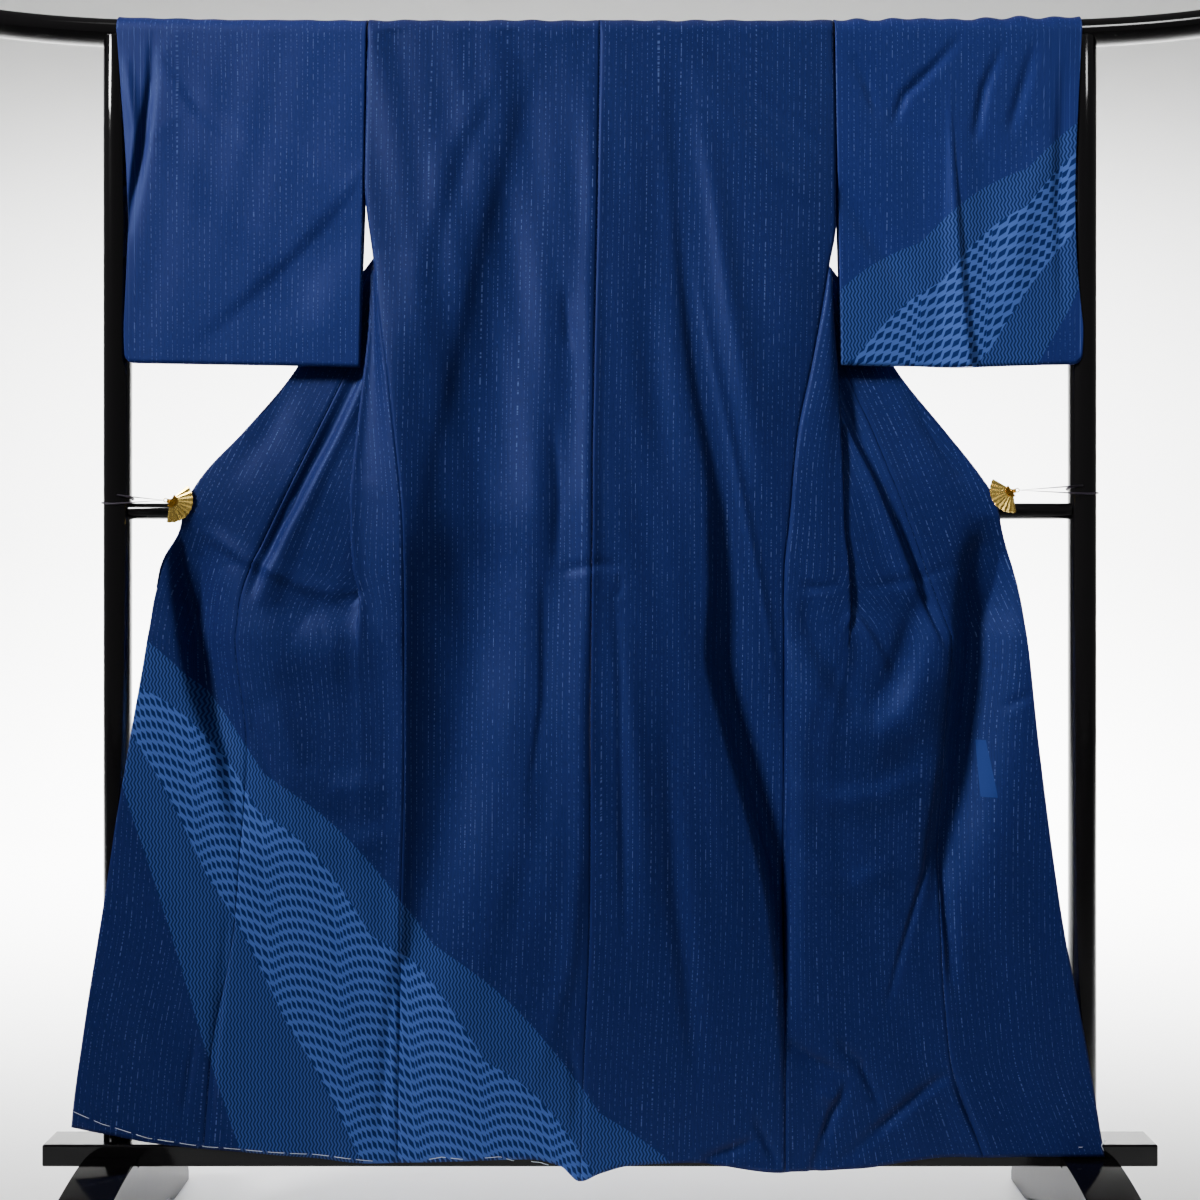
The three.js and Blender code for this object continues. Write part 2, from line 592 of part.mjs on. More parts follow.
// ---- the clips and their elastic loops ----
const CLIPS = {
  left: { sign: -1, out: 602, z: 1052, from: 40, to: -100 },
  right: { sign: 1, out: 578, z: 1066, from: 30, to: -100 },
};
const FAN = { radius: 31, root: 5, pleats: 10, plate: 1.1, height: 0.8, y: -24.2 };

// A fan opened towards the cloth, its jaw behind the cloth and the bridge that joins them.
function clip({ sign, out, z, from, to }) {
  const rows = Array.from({ length: 2 * FAN.pleats + 1 }, (_, k) => {
    const angle = THREE.MathUtils.degToRad(mix(from, to, k / (2 * FAN.pleats)));
    const lift = (k % 2 ? -1 : 1) * FAN.height;
    return [FAN.root, FAN.radius * 0.5, FAN.radius].map((r, j) => new THREE.Vector3(
      sign * (out - r * Math.cos(angle)), FAN.y + lift * (j / 2), z + r * Math.sin(angle)));
  });
  let body = solid(wall({ grid: rows, normals: normalsOf(rows) }, FAN.plate));
  const boxes = [
    { size: [12, 2.2, 11], at: [out - 1, FAN.y, z - 1] }, // hub of the fan
    { size: [4, 13, 7], at: [out + 3, FAN.y + 5.5, z - 1] }, // bridge round the cloth's edge
    { size: [26, 1, 7], at: [out - 8, -13.4, z - 1] }, // jaw behind the cloth
    { size: [4.5, 3, 4.5], at: [out + 6, FAN.y + 0.5, z] }, // eye for the elastic
  ];
  for (const { size, at } of boxes) {
    body = body.add(solid(new THREE.BoxGeometry(...size).translate(sign * at[0], at[1], at[2])));
  }
  return geometryOf(body);
}

// The elastic runs from the clip round its post and back, held taut all the way.
function elastic({ sign, out, z }) {
  const radius = 1.3;
  const round = POST_RADIUS + GAP + radius;
  const eye = new THREE.Vector3(out + 8.25 + GAP + radius, FAN.y + 0.5, z);
  const path = [eye];
  for (let degrees = 100; degrees <= 440; degrees += 20) {
    // starts at the front of the post and goes round its far side to the rear
    const angle = THREE.MathUtils.degToRad(-degrees);
    const share = (degrees - 100) / 340;
    path.push(new THREE.Vector3(POST_X - round * Math.cos(angle + Math.PI * 0.04),
      round * Math.sin(angle + Math.PI * 0.04), z - 5 + 12 * share));
  }
  const rows = path.map((p) => new THREE.Vector3(sign * p.x, p.y, p.z));
  return closedTube(rows, radius, 8);
}

// A tube along a closed path, each ring square to the path.
function closedTube(path, radius, sides) {
  const count = path.length;
  const positions = [];
  const index = [];
  path.forEach((p, i) => {
    const along = path[(i + 1) % count].clone().sub(path[(i + count - 1) % count]).normalize();
    const across = new THREE.Vector3(0, 0, 1).cross(along).normalize();
    const up = along.clone().cross(across);
    for (let k = 0; k < sides; k++) {
      const angle = (2 * Math.PI * k) / sides;
      const q = p.clone().addScaledVector(across, radius * Math.cos(angle))
        .addScaledVector(up, radius * Math.sin(angle));
      positions.push(q.x, q.y, q.z);
      const [a, b] = [i * sides + k, i * sides + ((k + 1) % sides)];
      const [c, d] = [((i + 1) % count) * sides + k, ((i + 1) % count) * sides + ((k + 1) % sides)];
      index.push(a, b, d, a, d, c);
    }
  });
  return facingOut(positions, index);
}

// ---- the part ----
function kimono() {
  const group = new THREE.Group();
  const sheets = {};
  for (const side of Object.values(SIDES)) {
    sheets[`back_${side.name}`] = backSheet(side);
    sheets[`front_${side.name}`] = frontSheet(side);
    sheets[`okumi_${side.name}`] = okumiSheet(side);
    for (const kind of ["back", "front", "okumi"]) {
      const sheet = sheets[`${kind}_${side.name}`];
      if (side.sign < 0) sheet.normals.forEach((row) => row.forEach((n) => n.negate()));
    }
  }
  shareNormals(sheets.back_left, 0, sheets.back_right, 0);
  for (const name of ["left", "right"]) {
    const [back, front, okumi] = ["back", "front", "okumi"].map((kind) => sheets[`${kind}_${name}`]);
    shareNormals(back, back.grid[0].length - 1, front, 0);
    shareNormals(front, front.grid[0].length - 1, okumi, 0);
    drawBack(back, [0, back.grid[0].length - 1]);
    drawBack(front, [0, front.grid[0].length - 1]);
    drawBack(okumi, [0, okumi.grid[0].length - 1]);
  }
  for (const [name, sheet] of Object.entries(sheets)) group.add(piece(name, wall(sheet, CLOTH), NAVY));
  const collar = collarSheet();
  drawBack(collar, [0], 1.1);
  group.add(piece("collar", wall(collar, COLLAR_CLOTH), NAVY));
  for (const side of Object.values(SIDES)) {
    group.add(piece(`sleeve_${side.name}`, wall(sleeveSheet(side), CLOTH, true), NAVY));
  }
  return group;
}

function stand() {
  const group = new THREE.Group();
  group.add(piece("top_rail", topRail(), LACQUER));
  group.add(piece("middle_rail", middleRail(), LACQUER));
  group.add(piece("plank", plank(), LACQUER));
  for (const side of Object.values(SIDES)) {
    group.add(piece(`post_${side.name}`, post(side.sign), LACQUER));
    group.add(piece(`foot_${side.name}`, foot(side.sign), LACQUER));
    group.add(piece(`clip_${side.name}`, clip(CLIPS[side.name]), GOLD));
    group.add(piece(`elastic_${side.name}`, elastic(CLIPS[side.name]), ELASTIC));
  }
  return group;
}

const part = new THREE.Group();
part.add(stand(), kimono());
export default part;
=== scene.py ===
"""A woman's kimono hung over the top rail of a black lacquered stand, seen from behind.

The cloth is worked out in millimetres, as a cutter's sheet is, from the same section tables as the
solids. mesh_from() turns it into metres. -Y is towards the viewer, and +Z is up.
"""
import math

import bmesh
import bpy
import numpy as np
from mathutils import Matrix, Vector


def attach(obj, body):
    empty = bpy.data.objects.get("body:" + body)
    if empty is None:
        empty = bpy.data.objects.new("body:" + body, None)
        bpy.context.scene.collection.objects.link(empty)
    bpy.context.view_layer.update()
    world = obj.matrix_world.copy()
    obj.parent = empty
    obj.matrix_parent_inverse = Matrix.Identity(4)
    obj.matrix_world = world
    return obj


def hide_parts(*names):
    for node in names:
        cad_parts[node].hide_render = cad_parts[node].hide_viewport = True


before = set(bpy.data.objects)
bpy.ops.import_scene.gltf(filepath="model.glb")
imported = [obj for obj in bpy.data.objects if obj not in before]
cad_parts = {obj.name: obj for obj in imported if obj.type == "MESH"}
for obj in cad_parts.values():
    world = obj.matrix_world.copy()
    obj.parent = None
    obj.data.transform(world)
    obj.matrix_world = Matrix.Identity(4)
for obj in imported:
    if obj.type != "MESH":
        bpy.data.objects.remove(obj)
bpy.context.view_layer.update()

MM = 0.001
FINE = 1.0  # share of the full number of grid lines
HEM_Z, ROW_STEP = 130, 6  # the lowest row of the tables, and the height from row to row of the sheets
OPENING = (1375, 1400)  # the side seams end between these heights

# ---------------------------------------------------------------- the stand's sizes
RAIL_RADIUS, RAIL_HALF, RAIL_Z, RAIL_RISE = 19, 915, 1711, 5
POST_X, POST_RADIUS = 684, 19.5
BAR_RADIUS, BAR_Z = 11.5, 1038
PLANK_LENGTH, PLANK_DEPTH, PLANK_LOW, PLANK_HIGH = 1564, 53, 118, 149
FOOT_WIDTH, FOOT_REACH, FOOT_TOP = 75, 216, 131
DRAPE = RAIL_RADIUS + 1.6  # the middle of the cloth where it lies on the rail
SHOULDER_Z = 1706  # where the back panels end, behind the rail



# ---------------------------------------------------------------- curves and tables
def hermite(a, b, t, leaving, arriving):
    """A smooth way from a to b as t goes from 0 to 1, along a tangent at each end."""
    return a + t * t * (3 - 2 * t) * (b - a) + t * (1 - t) ** 2 * leaving - t * t * (1 - t) * arriving


def smooth(xs, ys, x):
    """A curve through the points (xs, ys) that doesn't overshoot them, read at x."""
    xs, ys = np.asarray(xs, float), np.asarray(ys, float)
    steps = np.diff(xs)
    slopes = np.diff(ys) / steps
    tangents = np.zeros(len(xs))
    product = slopes[:-1] * slopes[1:]
    total = slopes[:-1] + slopes[1:]
    tangents[1:-1] = np.where(product > 0, 2 * product / np.where(total == 0, 1, total), 0)
    tangents[0], tangents[-1] = slopes[0], slopes[-1]
    x = np.clip(x, xs[0], xs[-1])
    i = np.clip(np.searchsorted(xs, x, side="right") - 1, 0, len(xs) - 2)
    t = (x - xs[i]) / steps[i]
    return hermite(ys[i], ys[i + 1], t, steps[i] * tangents[i], steps[i] * tangents[i + 1])


class Table:
    """Rows of numbers under named columns, read along the first column."""

    def __init__(self, columns, rows):
        self.columns = dict(zip(columns.split(), np.array(rows, float).T))
        self.key = self.columns[columns.split()[0]]

    def at(self, name, key):
        return smooth(self.key, self.columns[name], key)


def bell(distance, width):
    return np.exp(-((distance / width) ** 2))


def ramp(value, low, high):
    """0 below low, 1 above high, and an even S between them."""
    t = np.clip((value - low) / (high - low), 0, 1)
    return t * t * (3 - 2 * t)


def mix(a, b, t):
    return a + (b - a) * t


# ---------------------------------------------------------------- the cloth's section tables
SIDE_COLUMNS = "z seam roll tuck ridge join edge"
LEFT = Table(SIDE_COLUMNS, [
    (130, 283, 325, 365, 480, 554, 739),
    (282, 281, 322, 360, 470, 543, 725),
    (470, 278, 315, 350, 440, 510, 697),
    (710, 273, 308, 340, 420, 498, 659),
    (856, 273, 336, 342, 425, 512, 634),
    (880, 273, 338, 340, 455, 509, 630),
    (905, 273, 338, 330, 478, 506, 627),
    (930, 273, 340, 312, 474, 500, 622),
    (957, 273, 346, 298, 466, 490, 617),
    (1016, 274, 350, 298, 440, 463, 590),
    (1050, 276, 350, 300, 421, 447, 580),
    (1090, 280, 348, 294, 402, 428, 556),
    (1150, 287, 342, 275, 370, 400, 502),
    (1232, 297, 333, 241, 333, 362, 436),
    (1300, 308, 326, 220, 306, 336, 397),
    (1382, 317, 323, 192, 272, 306, 338),
    (1500, 330, 312, 169, 210, 246, 250),
    (1640, 328, 312, 115, 130, 142, 146),
    (1690, 326, 312, 99, 104, 105, 109),
])
RIGHT = Table(SIDE_COLUMNS, [
    (130, 259, 300, 340, 455, 536, 705),
    (282, 259, 297, 335, 425, 488, 681),
    (470, 259, 295, 330, 415, 477, 646),
    (710, 259, 293, 325, 410, 483, 614),
    (856, 259, 346, 352, 420, 494, 600),
    (880, 259, 350, 346, 440, 486, 597),
    (905, 258, 352, 330, 452, 477, 594),
    (957, 259, 350, 290, 438, 458, 583),
    (1016, 265, 343, 282, 415, 437, 564),
    (1050, 268, 342, 282, 401, 425, 556),
    (1090, 271, 341, 278, 384, 409, 532),
    (1150, 278, 339, 266, 353, 386, 487),
    (1232, 295, 335, 241, 320, 350, 424),
    (1300, 308, 330, 220, 296, 326, 384),
    (1382, 322, 324, 192, 262, 300, 334),
    (1440, 331, 318, 180, 232, 268, 284),
    (1500, 331, 314, 169, 208, 242, 246),
    (1640, 330, 314, 115, 130, 140, 144),
    (1690, 328, 314, 99, 104, 105, 109),
])
DEPTHS = Table("z back inner outer", [
    (130, -30, -30, -30),
    (470, -29.5, -29.5, -29),
    (710, -29.5, -29, -28),
    (856, -29, -28, -26),
    (905, -29, -25, -22),
    (1050, -28.5, -24.5, -20.5),
    (1150, -26, -16, -9),
    (1232, -25, -8, 1),
    (1382, -23.5, 7, 17),
    (1500, -22.5, 15, 24),
    (1640, -21, 20.3, 26),
    (1706, -20.6, 20.6, 22),
])
# The back's centre seam, how far its middle stands out, and the trough at each side of the middle.
BACK_FOLDS = Table("z centre full left left_depth right right_depth", [
    (130, -27, 4, 292, 1, 276, 1),
    (250, -23, 8, 290, 3, 272, 6),
    (351, -18, 12, 284, 8, 266, 14),
    (466, -14, 16, 250, 12, 256, 21),
    (595, -13, 18, 220, 21, 228, 25),
    (723, -13, 18, 200, 27, 192, 25),
    (842, -12, 16, 186, 31, 166, 18),
    (940, -11, 13, 178, 27, 169, 12),
    (1040, -10, 11, 172, 15.5, 168, 10),
    (1094, -10, 9, 168, 17, 162, 10),
    (1220, -8, 7, 154, 20, 138, 10),
    (1375, -5, 5, 134, 15, 120, 8),
    (1473, -3, 4, 122, 11, 112, 5),
    (1613, -1, 2, 106, 6, 104, 2),
    (1711, 0, 0, 102, 0, 102, 0),
])
# The widths of each trough's slopes on its left and right, and how far the middle takes to rise.
TROUGH_SLOPES = {
    "left": Table("z outer inner", [
        (130, 40, 60), (466, 34, 80), (595, 42, 100), (723, 50, 110), (842, 56, 110), (996, 62, 110),
        (1220, 64, 90), (1375, 54, 70), (1473, 36, 60), (1711, 26, 50)]),
    "right": Table("z outer inner", [(130, 40, 12), (1711, 40, 12)]),
}
MIDDLE_RISE = {"left": 110, "right": 24}
# How far back the side seams lie, behind the edges of the front panels.
SEAM_DEPTH = Table("z left right", [
    (130, 0, 0), (250, 0, 1), (351, -2, 4), (466, -5, 8), (880, -6, 8), (940, -10, 6), (1010, -15, 3),
    (1100, -16, 0), (1250, -11, 0), (1340, -4, 0), (1400, 0, 0)])
# The deep fold under each clip, which runs down to the seam of the overlap.
VALLEY = {
    "left": Table("z out depth", [
        (560, 500, 0), (603, 508, 7), (687, 524, 17), (744, 545, 28), (786, 558, 34), (828, 568, 37),
        (912, 582, 37), (965, 588, 28), (1000, 590, 12), (1030, 590, 0)]),
    "right": Table("z out depth", [
        (430, 474, 0), (498, 478, 10), (552, 486, 22), (626, 504, 32), (734, 520, 40), (842, 530, 42),
        (912, 537, 40), (965, 541, 30), (1000, 543, 12), (1030, 543, 0)]),
}
VALLEY_SLOPES = {"left": (46, 12), "right": (26, 44)}  # towards the body, and away from it
HEM = Table("x z", [
    (-739, 175), (-610, 151), (-420, 134), (-315, 125), (-100, 132), (-56, 123), (-28, 101), (0, 112),
    (42, 123), (126, 127), (252, 113), (357, 117), (483, 133), (710, 134)])
SLEEVE_RINGS = {
    "left": Table("ring top low low_z", [
        (0, 679, 664, 1500), (1, 662, 663, 1440), (2, 645, 666, 1360), (3, 628, 669, 1290),
        (4, 612, 668, 1258), (5, 596, 658, 1246), (6, 566, 620, 1245), (7, 520, 560, 1244),
        (8, 470, 500, 1243), (9, 420, 440, 1242), (10, 372, 385, 1241), (11, 328, 338, 1240)]),
    "right": Table("ring top low low_z", [
        (0, 677, 667, 1500), (1, 662, 668, 1440), (2, 645, 672, 1360), (3, 628, 679, 1290),
        (4, 612, 678, 1258), (5, 596, 668, 1244), (6, 566, 625, 1243), (7, 520, 560, 1241),
        (8, 470, 500, 1239), (9, 420, 440, 1241), (10, 372, 385, 1242), (11, 330, 339, 1243)]),
}
SIGN = {"left": -1, "right": 1}
SIDE = {"left": LEFT, "right": RIGHT}


def rail_z(x):
    return RAIL_Z + RAIL_RISE * (np.abs(x) / POST_X) ** 6


# ---------------------------------------------------------------- folds laid one by one
# A fold is a line of (x, z) points. Then come the widths of its two slopes, where a small one makes a
# sharp edge, and its height towards the outer face, below zero for a trough. Along a line drawn
# downwards the slopes are the left and the right one; along one drawn rightwards, the lower and upper.
FOLD_DEPTH = 1.4  # a factor on every height
BACK_CREASES = [
    # out of the neck, over the shoulder blades
    ([(-98, 1669), (-133, 1571), (-171, 1431), (-203, 1290), (-238, 1136), (-264, 990)], 24, 14, 2.5),
    ([(-126, 1655), (-182, 1557), (-217, 1445), (-238, 1332)], 14, 14, -1.5),
    ([(-112, 1676), (-210, 1543), (-245, 1389), (-259, 1262)], 24, 24, 1.8),
    ([(126, 1655), (182, 1585), (245, 1515), (301, 1473)], 14, 14, 3),
    ([(140, 1690), (196, 1641), (266, 1585), (311, 1543)], 10, 8, -3),
    ([(140, 1599), (161, 1473), (179, 1332), (203, 1192), (225, 1060)], 12, 16, 3.5),
    ([(133, 1375), (157, 1248), (182, 1136), (207, 1010), (231, 898), (250, 786)], 5, 7, 2.5),
    # the two broad ridges left of the centre seam, and the hollow between them
    ([(-77, 1585), (-84, 1333), (-91, 1122), (-101, 968), (-119, 828), (-147, 659), (-182, 519),
      (-217, 407), (-245, 300)], 32, 26, 3.5),
    ([(-45, 1320), (-50, 1122), (-62, 954), (-73, 687), (-91, 561), (-126, 449), (-147, 330)], 22, 22, -3.5),
    ([(-10, 1669), (-14, 1333), (-17, 968), (-24, 772), (-28, 547), (-42, 407), (-73, 295),
      (-105, 215)], 15, 12, 4.5),
    # right of the centre seam
    ([(77, 1560), (77, 1192), (84, 968)], 24, 24, -3),
    ([(35, 900), (56, 631), (70, 430)], 18, 18, 3.5),
    ([(20, 930), (28, 800), (31, 631), (35, 420)], 6, 8, -2.5),
    ([(90, 760), (107, 491), (126, 330), (135, 230)], 12, 16, -4),
    # small crumples where the back was folded away
    ([(-80, 947), (-80, 856), (-80, 772), (-98, 645)], 4, 12, -2.5),
    ([(-49, 1347), (-42, 1262)], 7, 7, -2.5),
    ([(-66, 1164), (-56, 1052), (-62, 954)], 8, 6, -2),
    ([(-56, 952), (0, 961), (30, 957)], 5, 7, -3),
    ([(26, 952), (30, 925), (14, 912)], 4, 4, -1.2),
    ([(142, 130), (217, 169)], 4, 7, -5),
    ([(214, 200), (249, 139)], 4, 6, -4),
    ([(-45, 300), (-30, 240), (-36, 180)], 8, 8, -3),
]
FRONT_CREASES = [
    # beside the ridge that runs from the shoulder to the seam of the overlap
    ([(-349, 1215), (-379, 1150), (-413, 1080), (-450, 1010), (-474, 957), (-486, 930)], 14, 9, -5.5),
    ([(330, 1215), (360, 1142), (386, 1088), (420, 1010), (450, 930), (470, 880), (486, 842)], 4, 13, -7.5),
    ([(-430, 1225), (-470, 1150), (-520, 1080)], 18, 18, -1.5),
    ([(430, 1225), (470, 1150), (520, 1075)], 12, 12, -3),
    # the swags that hang from the left clip to the side seam
    ([(-575, 1020), (-505, 975), (-421, 933), (-350, 912)], 7, 14, 4.5),
    ([(-512, 968), (-484, 905), (-440, 842), (-384, 836), (-312, 880)], 44, 40, 6),
    ([(-455, 915), (-415, 890), (-368, 908)], 18, 20, -1.5),
    ([(-368, 921), (-345, 912), (-330, 928)], 5, 5, -2.5),
    ([(-463, 772), (-421, 673), (-379, 645), (-287, 652)], 36, 20, 4.5),
    ([(-400, 600), (-340, 572), (-285, 585)], 26, 16, 3),
    ([(-492, 776), (-485, 727), (-460, 660), (-436, 606)], 6, 10, -2.5),
    # the swags on the right side
    ([(273, 856), (301, 786), (343, 737), (386, 720), (428, 751), (460, 814), (480, 880)], 42, 24, 8),
    ([(280, 912), (308, 842), (345, 790), (369, 768)], 16, 22, -4),
    ([(456, 926), (428, 856), (411, 800), (379, 766)], 14, 22, -4),
    ([(352, 900), (376, 862), (404, 815)], 16, 6, 4.5),
    ([(262, 934), (300, 928), (335, 930)], 4, 6, -2.5),
    ([(356, 924), (393, 931), (440, 940), (510, 962)], 4, 6, -2),
    ([(262, 652), (322, 631), (393, 638), (463, 673)], 26, 14, 3.5),
    ([(270, 548), (350, 512), (415, 545)], 24, 14, 2.5),
    ([(478, 687), (456, 533), (421, 421), (400, 340)], 4, 6, -2.5),
    ([(568, 759), (606, 780)], 4, 7, -2),
    # down beside the seams, and the crumples at the hem
    ([(-283, 420), (-294, 330), (-304, 200), (-306, 150)], 9, 6, -4),
    ([(-517, 484), (-530, 360), (-540, 253), (-545, 150)], 9, 5, -3),
    ([(-565, 304), (-575, 240), (-583, 168)], 4, 4, -2),
    ([(480, 580), (484, 470), (491, 370)], 4, 13, -6),
    ([(257, 300), (301, 270), (352, 250)], 8, 4, -5),
    ([(330, 298), (366, 264), (393, 212)], 6, 4, -5),
    ([(346, 243), (321, 200), (289, 112)], 4, 8, -5),
    ([(493, 249), (418, 197), (338, 137)], 9, 4, -5),
    ([(491, 249), (514, 190), (540, 138)], 5, 4, -3.5),
    ([(300, 232), (340, 222)], 8, 8, 3),
]
SLEEVE_CREASES = [
    ([(-610, 1690), (-510, 1612), (-410, 1545), (-345, 1500)], 34, 44, -4),
    ([(-610, 1585), (-530, 1480), (-450, 1400), (-400, 1290)], 34, 34, -3.5),
    ([(-345, 1440), (-400, 1370), (-470, 1290)], 30, 30, -1.2),
    ([(-334, 1494), (-379, 1438), (-450, 1367), (-520, 1304), (-575, 1258)], 12, 60, -3),
    ([(-629, 1704), (-632, 1641), (-646, 1543), (-668, 1420)], 5, 9, -5),
    ([(-667, 1680), (-653, 1571), (-664, 1440)], 8, 8, 3),
    ([(-677, 1613), (-672, 1495)], 5, 5, -3),
    ([(-611, 1675), (-562, 1599), (-500, 1550)], 8, 16, -2),
    ([(530, 1600), (540, 1450), (552, 1250)], 16, 30, -1.5),
    ([(360, 1690), (440, 1560), (470, 1420)], 26, 26, -3),
    ([(630, 1560), (590, 1430), (560, 1300)], 24, 24, 3),
    ([(510, 1706), (471, 1662), (429, 1622), (414, 1585)], 6, 5, -6),
    ([(566, 1690), (541, 1632), (528, 1560)], 7, 6, -5),
    ([(611, 1695), (597, 1641), (576, 1570)], 8, 8, -4),
    ([(653, 1680), (646, 1472), (651, 1300)], 9, 12, -3.5),
    ([(334, 1494), (386, 1417), (443, 1340)], 14, 14, -4),
    ([(351, 1680), (375, 1640), (390, 1590)], 7, 7, -2.5),
]


# The pressed pleat in the right sleeve: a long wedge, with its sharp edge on the right.
PLEAT = Table("z left right height", [
    (1238, 474, 519, 11), (1373, 479, 507, 8), (1449, 482, 501, 6.5), (1536, 486, 494, 4),
    (1655, 488, 490, 0)])


def pleat(x, z):
    left, right = PLEAT.at("left", z), PLEAT.at("right", z)
    rise = np.clip((x - left) / (right - left), 0, 1)
    return PLEAT.at("height", z) * rise * (1 - ramp(x, right, right + 4))


def two_slopes(distance, slopes):
    """A bell whose left and right sides have their own widths."""
    return bell(distance, np.where(distance < 0, slopes[0], slopes[1]))


def relief(x, z, folds):
    """How far the cloth stands out from its plain section at (x, z)."""
    total = np.zeros(np.shape(x))
    for points, left, right, height in folds:
        points = np.asarray(points, float)
        steps = np.diff(points, axis=0)
        lengths = np.hypot(*steps.T)
        before = np.concatenate([[0], np.cumsum(lengths)])
        nearest = np.full(np.shape(x), np.inf)
        along, side = np.zeros(np.shape(x)), np.ones(np.shape(x))
        for (ax, az), (dx, dz), length, start in zip(points, steps, lengths, before):
            t = np.clip(((x - ax) * dx + (z - az) * dz) / length ** 2, 0, 1)
            off = np.hypot(x - ax - t * dx, z - az - t * dz)
            nearer = off < nearest
            nearest = np.where(nearer, off, nearest)
            along = np.where(nearer, (start + t * length) / before[-1], along)
            side = np.where(nearer, (z - az) * dx - (x - ax) * dz, side)
        fade = np.sin(np.pi * np.clip(along, 0.01, 0.99)) ** 0.6
        distance = np.where(side < 0, -nearest, nearest)
        total += FOLD_DEPTH * height * fade * two_slopes(distance, (left, right))
    return total


def ripple(x, z, seed, size=90.0, height=1.0):
    """Low uneven waves, the same each run."""
    random = np.random.default_rng(seed)
    total = np.zeros(np.shape(x))
    for k in range(7):
        long_x, long_z = size * random.uniform(0.5, 1.6), size * random.uniform(2.0, 6.0)
        total += np.sin(x / long_x * 2 * math.pi + z / long_z * 2 * math.pi + random.uniform(0, 6.28))
    return height * total / 3


# ---------------------------------------------------------------- sheets as grids of points
def bend_through(points, shares):
    """The points at these shares of the length of a smooth curve through the given ones."""
    points = np.asarray(points, float)
    steps = np.maximum(np.hypot(*np.diff(points, axis=0).T), 0.01)
    knots = np.concatenate([[0], np.cumsum(steps)])
    slopes = np.diff(points, axis=0) / steps[:, None]
    tangents = np.empty_like(points)
    weight = (steps[:-1] / (steps[:-1] + steps[1:]))[:, None]
    tangents[1:-1] = slopes[:-1] * (1 - weight) + slopes[1:] * weight
    tangents[0], tangents[-1] = slopes[0], slopes[-1]
    fine = np.linspace(0, knots[-1], 8 * len(points) + 80)
    i = np.clip(np.searchsorted(knots, fine, side="right") - 1, 0, len(points) - 2)
    t = ((fine - knots[i]) / steps[i])[:, None]
    h = steps[i][:, None]
    curve = hermite(points[i], points[i + 1], t, h * tangents[i], h * tangents[i + 1])
    lengths = np.concatenate([[0], np.cumsum(np.hypot(*np.diff(curve, axis=0).T))])
    spots = shares * lengths[-1]
    return np.stack([np.interp(spots, lengths, curve[:, k]) for k in (0, 1)], axis=1), lengths[-1]


def heights(low, high, spacing=ROW_STEP):
    return np.linspace(low, high, round((high - low) / spacing * FINE) + 1)


def hem_height(x, z):
    """The hem's uneven line, fading out above it."""
    return z + (HEM.at("z", x) - HEM_Z) * (1 - ramp(z, HEM_Z, 330))


def groove(count, spacing, depth=1.1, reach=3.0):
    """A shallow dip at both ends of a row, where the cloth turns in to its seam."""
    place = np.arange(count) * spacing
    return depth * (bell(place, reach) + bell(place[::-1], reach))


def trough(name, out, z, to_seam):
    """The trough beside the middle, 1 at its bottom; out is how far a point lies towards the side seam."""
    outer, inner = [float(TROUGH_SLOPES[name].at(c, z)) for c in ("outer", "inner")]
    soft = two_slopes(-out, (outer, inner))
    if name == "right":
        return soft
    # low down the left trough falls straight in from the side seam
    hollow = 1 - np.clip(out / max(to_seam, 14), 0, 1) ** 2
    return mix(np.where(out > 0, hollow, soft), soft, ramp(z, 1120, 1320))


def back_y(name, x, z):
    """How deep the back lies at (x, z): a broad middle that stands out, with a trough beside it."""
    sign = SIGN[name]
    from_seam = np.abs(x - sign * float(SIDE[name].at("seam", z)))
    bottom = float(BACK_FOLDS.at(name, z))
    whole = np.sin(np.clip(from_seam / 60, 0, 1) * math.pi / 2)
    raised = ramp(bottom - sign * x, -12, MIDDLE_RISE[name])
    middle = float(BACK_FOLDS.at("full", z)) * mix(raised, whole, ramp(z, 1000, 1300))
    low = trough(name, sign * x - bottom, z, float(SIDE[name].at("seam", z)) - bottom)
    y = DEPTHS.at("back", z) - middle + float(BACK_FOLDS.at(name + "_depth", z)) * low
    y += float(SEAM_DEPTH.at(name, z)) * bell(from_seam, 75)
    y -= relief(x, z, BACK_CREASES) + ripple(x, z, 3, height=0.9 * ramp(z, HEM_Z, 600))
    return clear_of_stand(y, z)


def back_panel(name):
    """The back of one side, from the hem up and over the rail."""
    sign, side = SIGN[name], SIDE[name]
    count = round(84 * FINE)
    share = np.linspace(0, 1, count)
    rows, across = [], []
    for z in heights(HEM_Z, RAIL_Z):
        centre = float(BACK_FOLDS.at("centre", z))
        seam = sign * float(side.at("seam", z))
        x = mix(centre, seam, share)
        y = back_y(name, x, z) + groove(count, abs(seam - centre) / count)
        rows.append(np.stack([x, y, hem_height(x, z)], axis=1))
        across.append(np.abs(x - centre))
    top = rows[-1][:, 0]
    for degrees in np.linspace(8, 180, round(18 * max(FINE, 0.7))):
        angle = math.radians(degrees)
        radius = DRAPE + 0.8 * bumps(top, degrees)
        y, z = -radius * math.cos(angle), rail_z(top) + radius * math.sin(angle)
        rows.append(np.stack([top, y, z], axis=1))
        across.append(across[-1])
    rows.append(np.stack([top, np.full(count, DRAPE), np.full(count, SHOULDER_Z)], axis=1))
    across.append(across[-1])
    return np.array(rows), np.array(across)


def bumps(x, degrees):
    """Small gathers over the rail."""
    lift = np.sin(math.radians(degrees)) ** 2
    return lift * (1.2 + np.sin(x / 13.0) * np.sin(x / 31.0 + 1) + 0.8 * np.sin(x / 7.3 + 2))


FLAP_LEAN = {"left": 0.55, "right": 0.0}  # how far the strip beside the side seam turns back


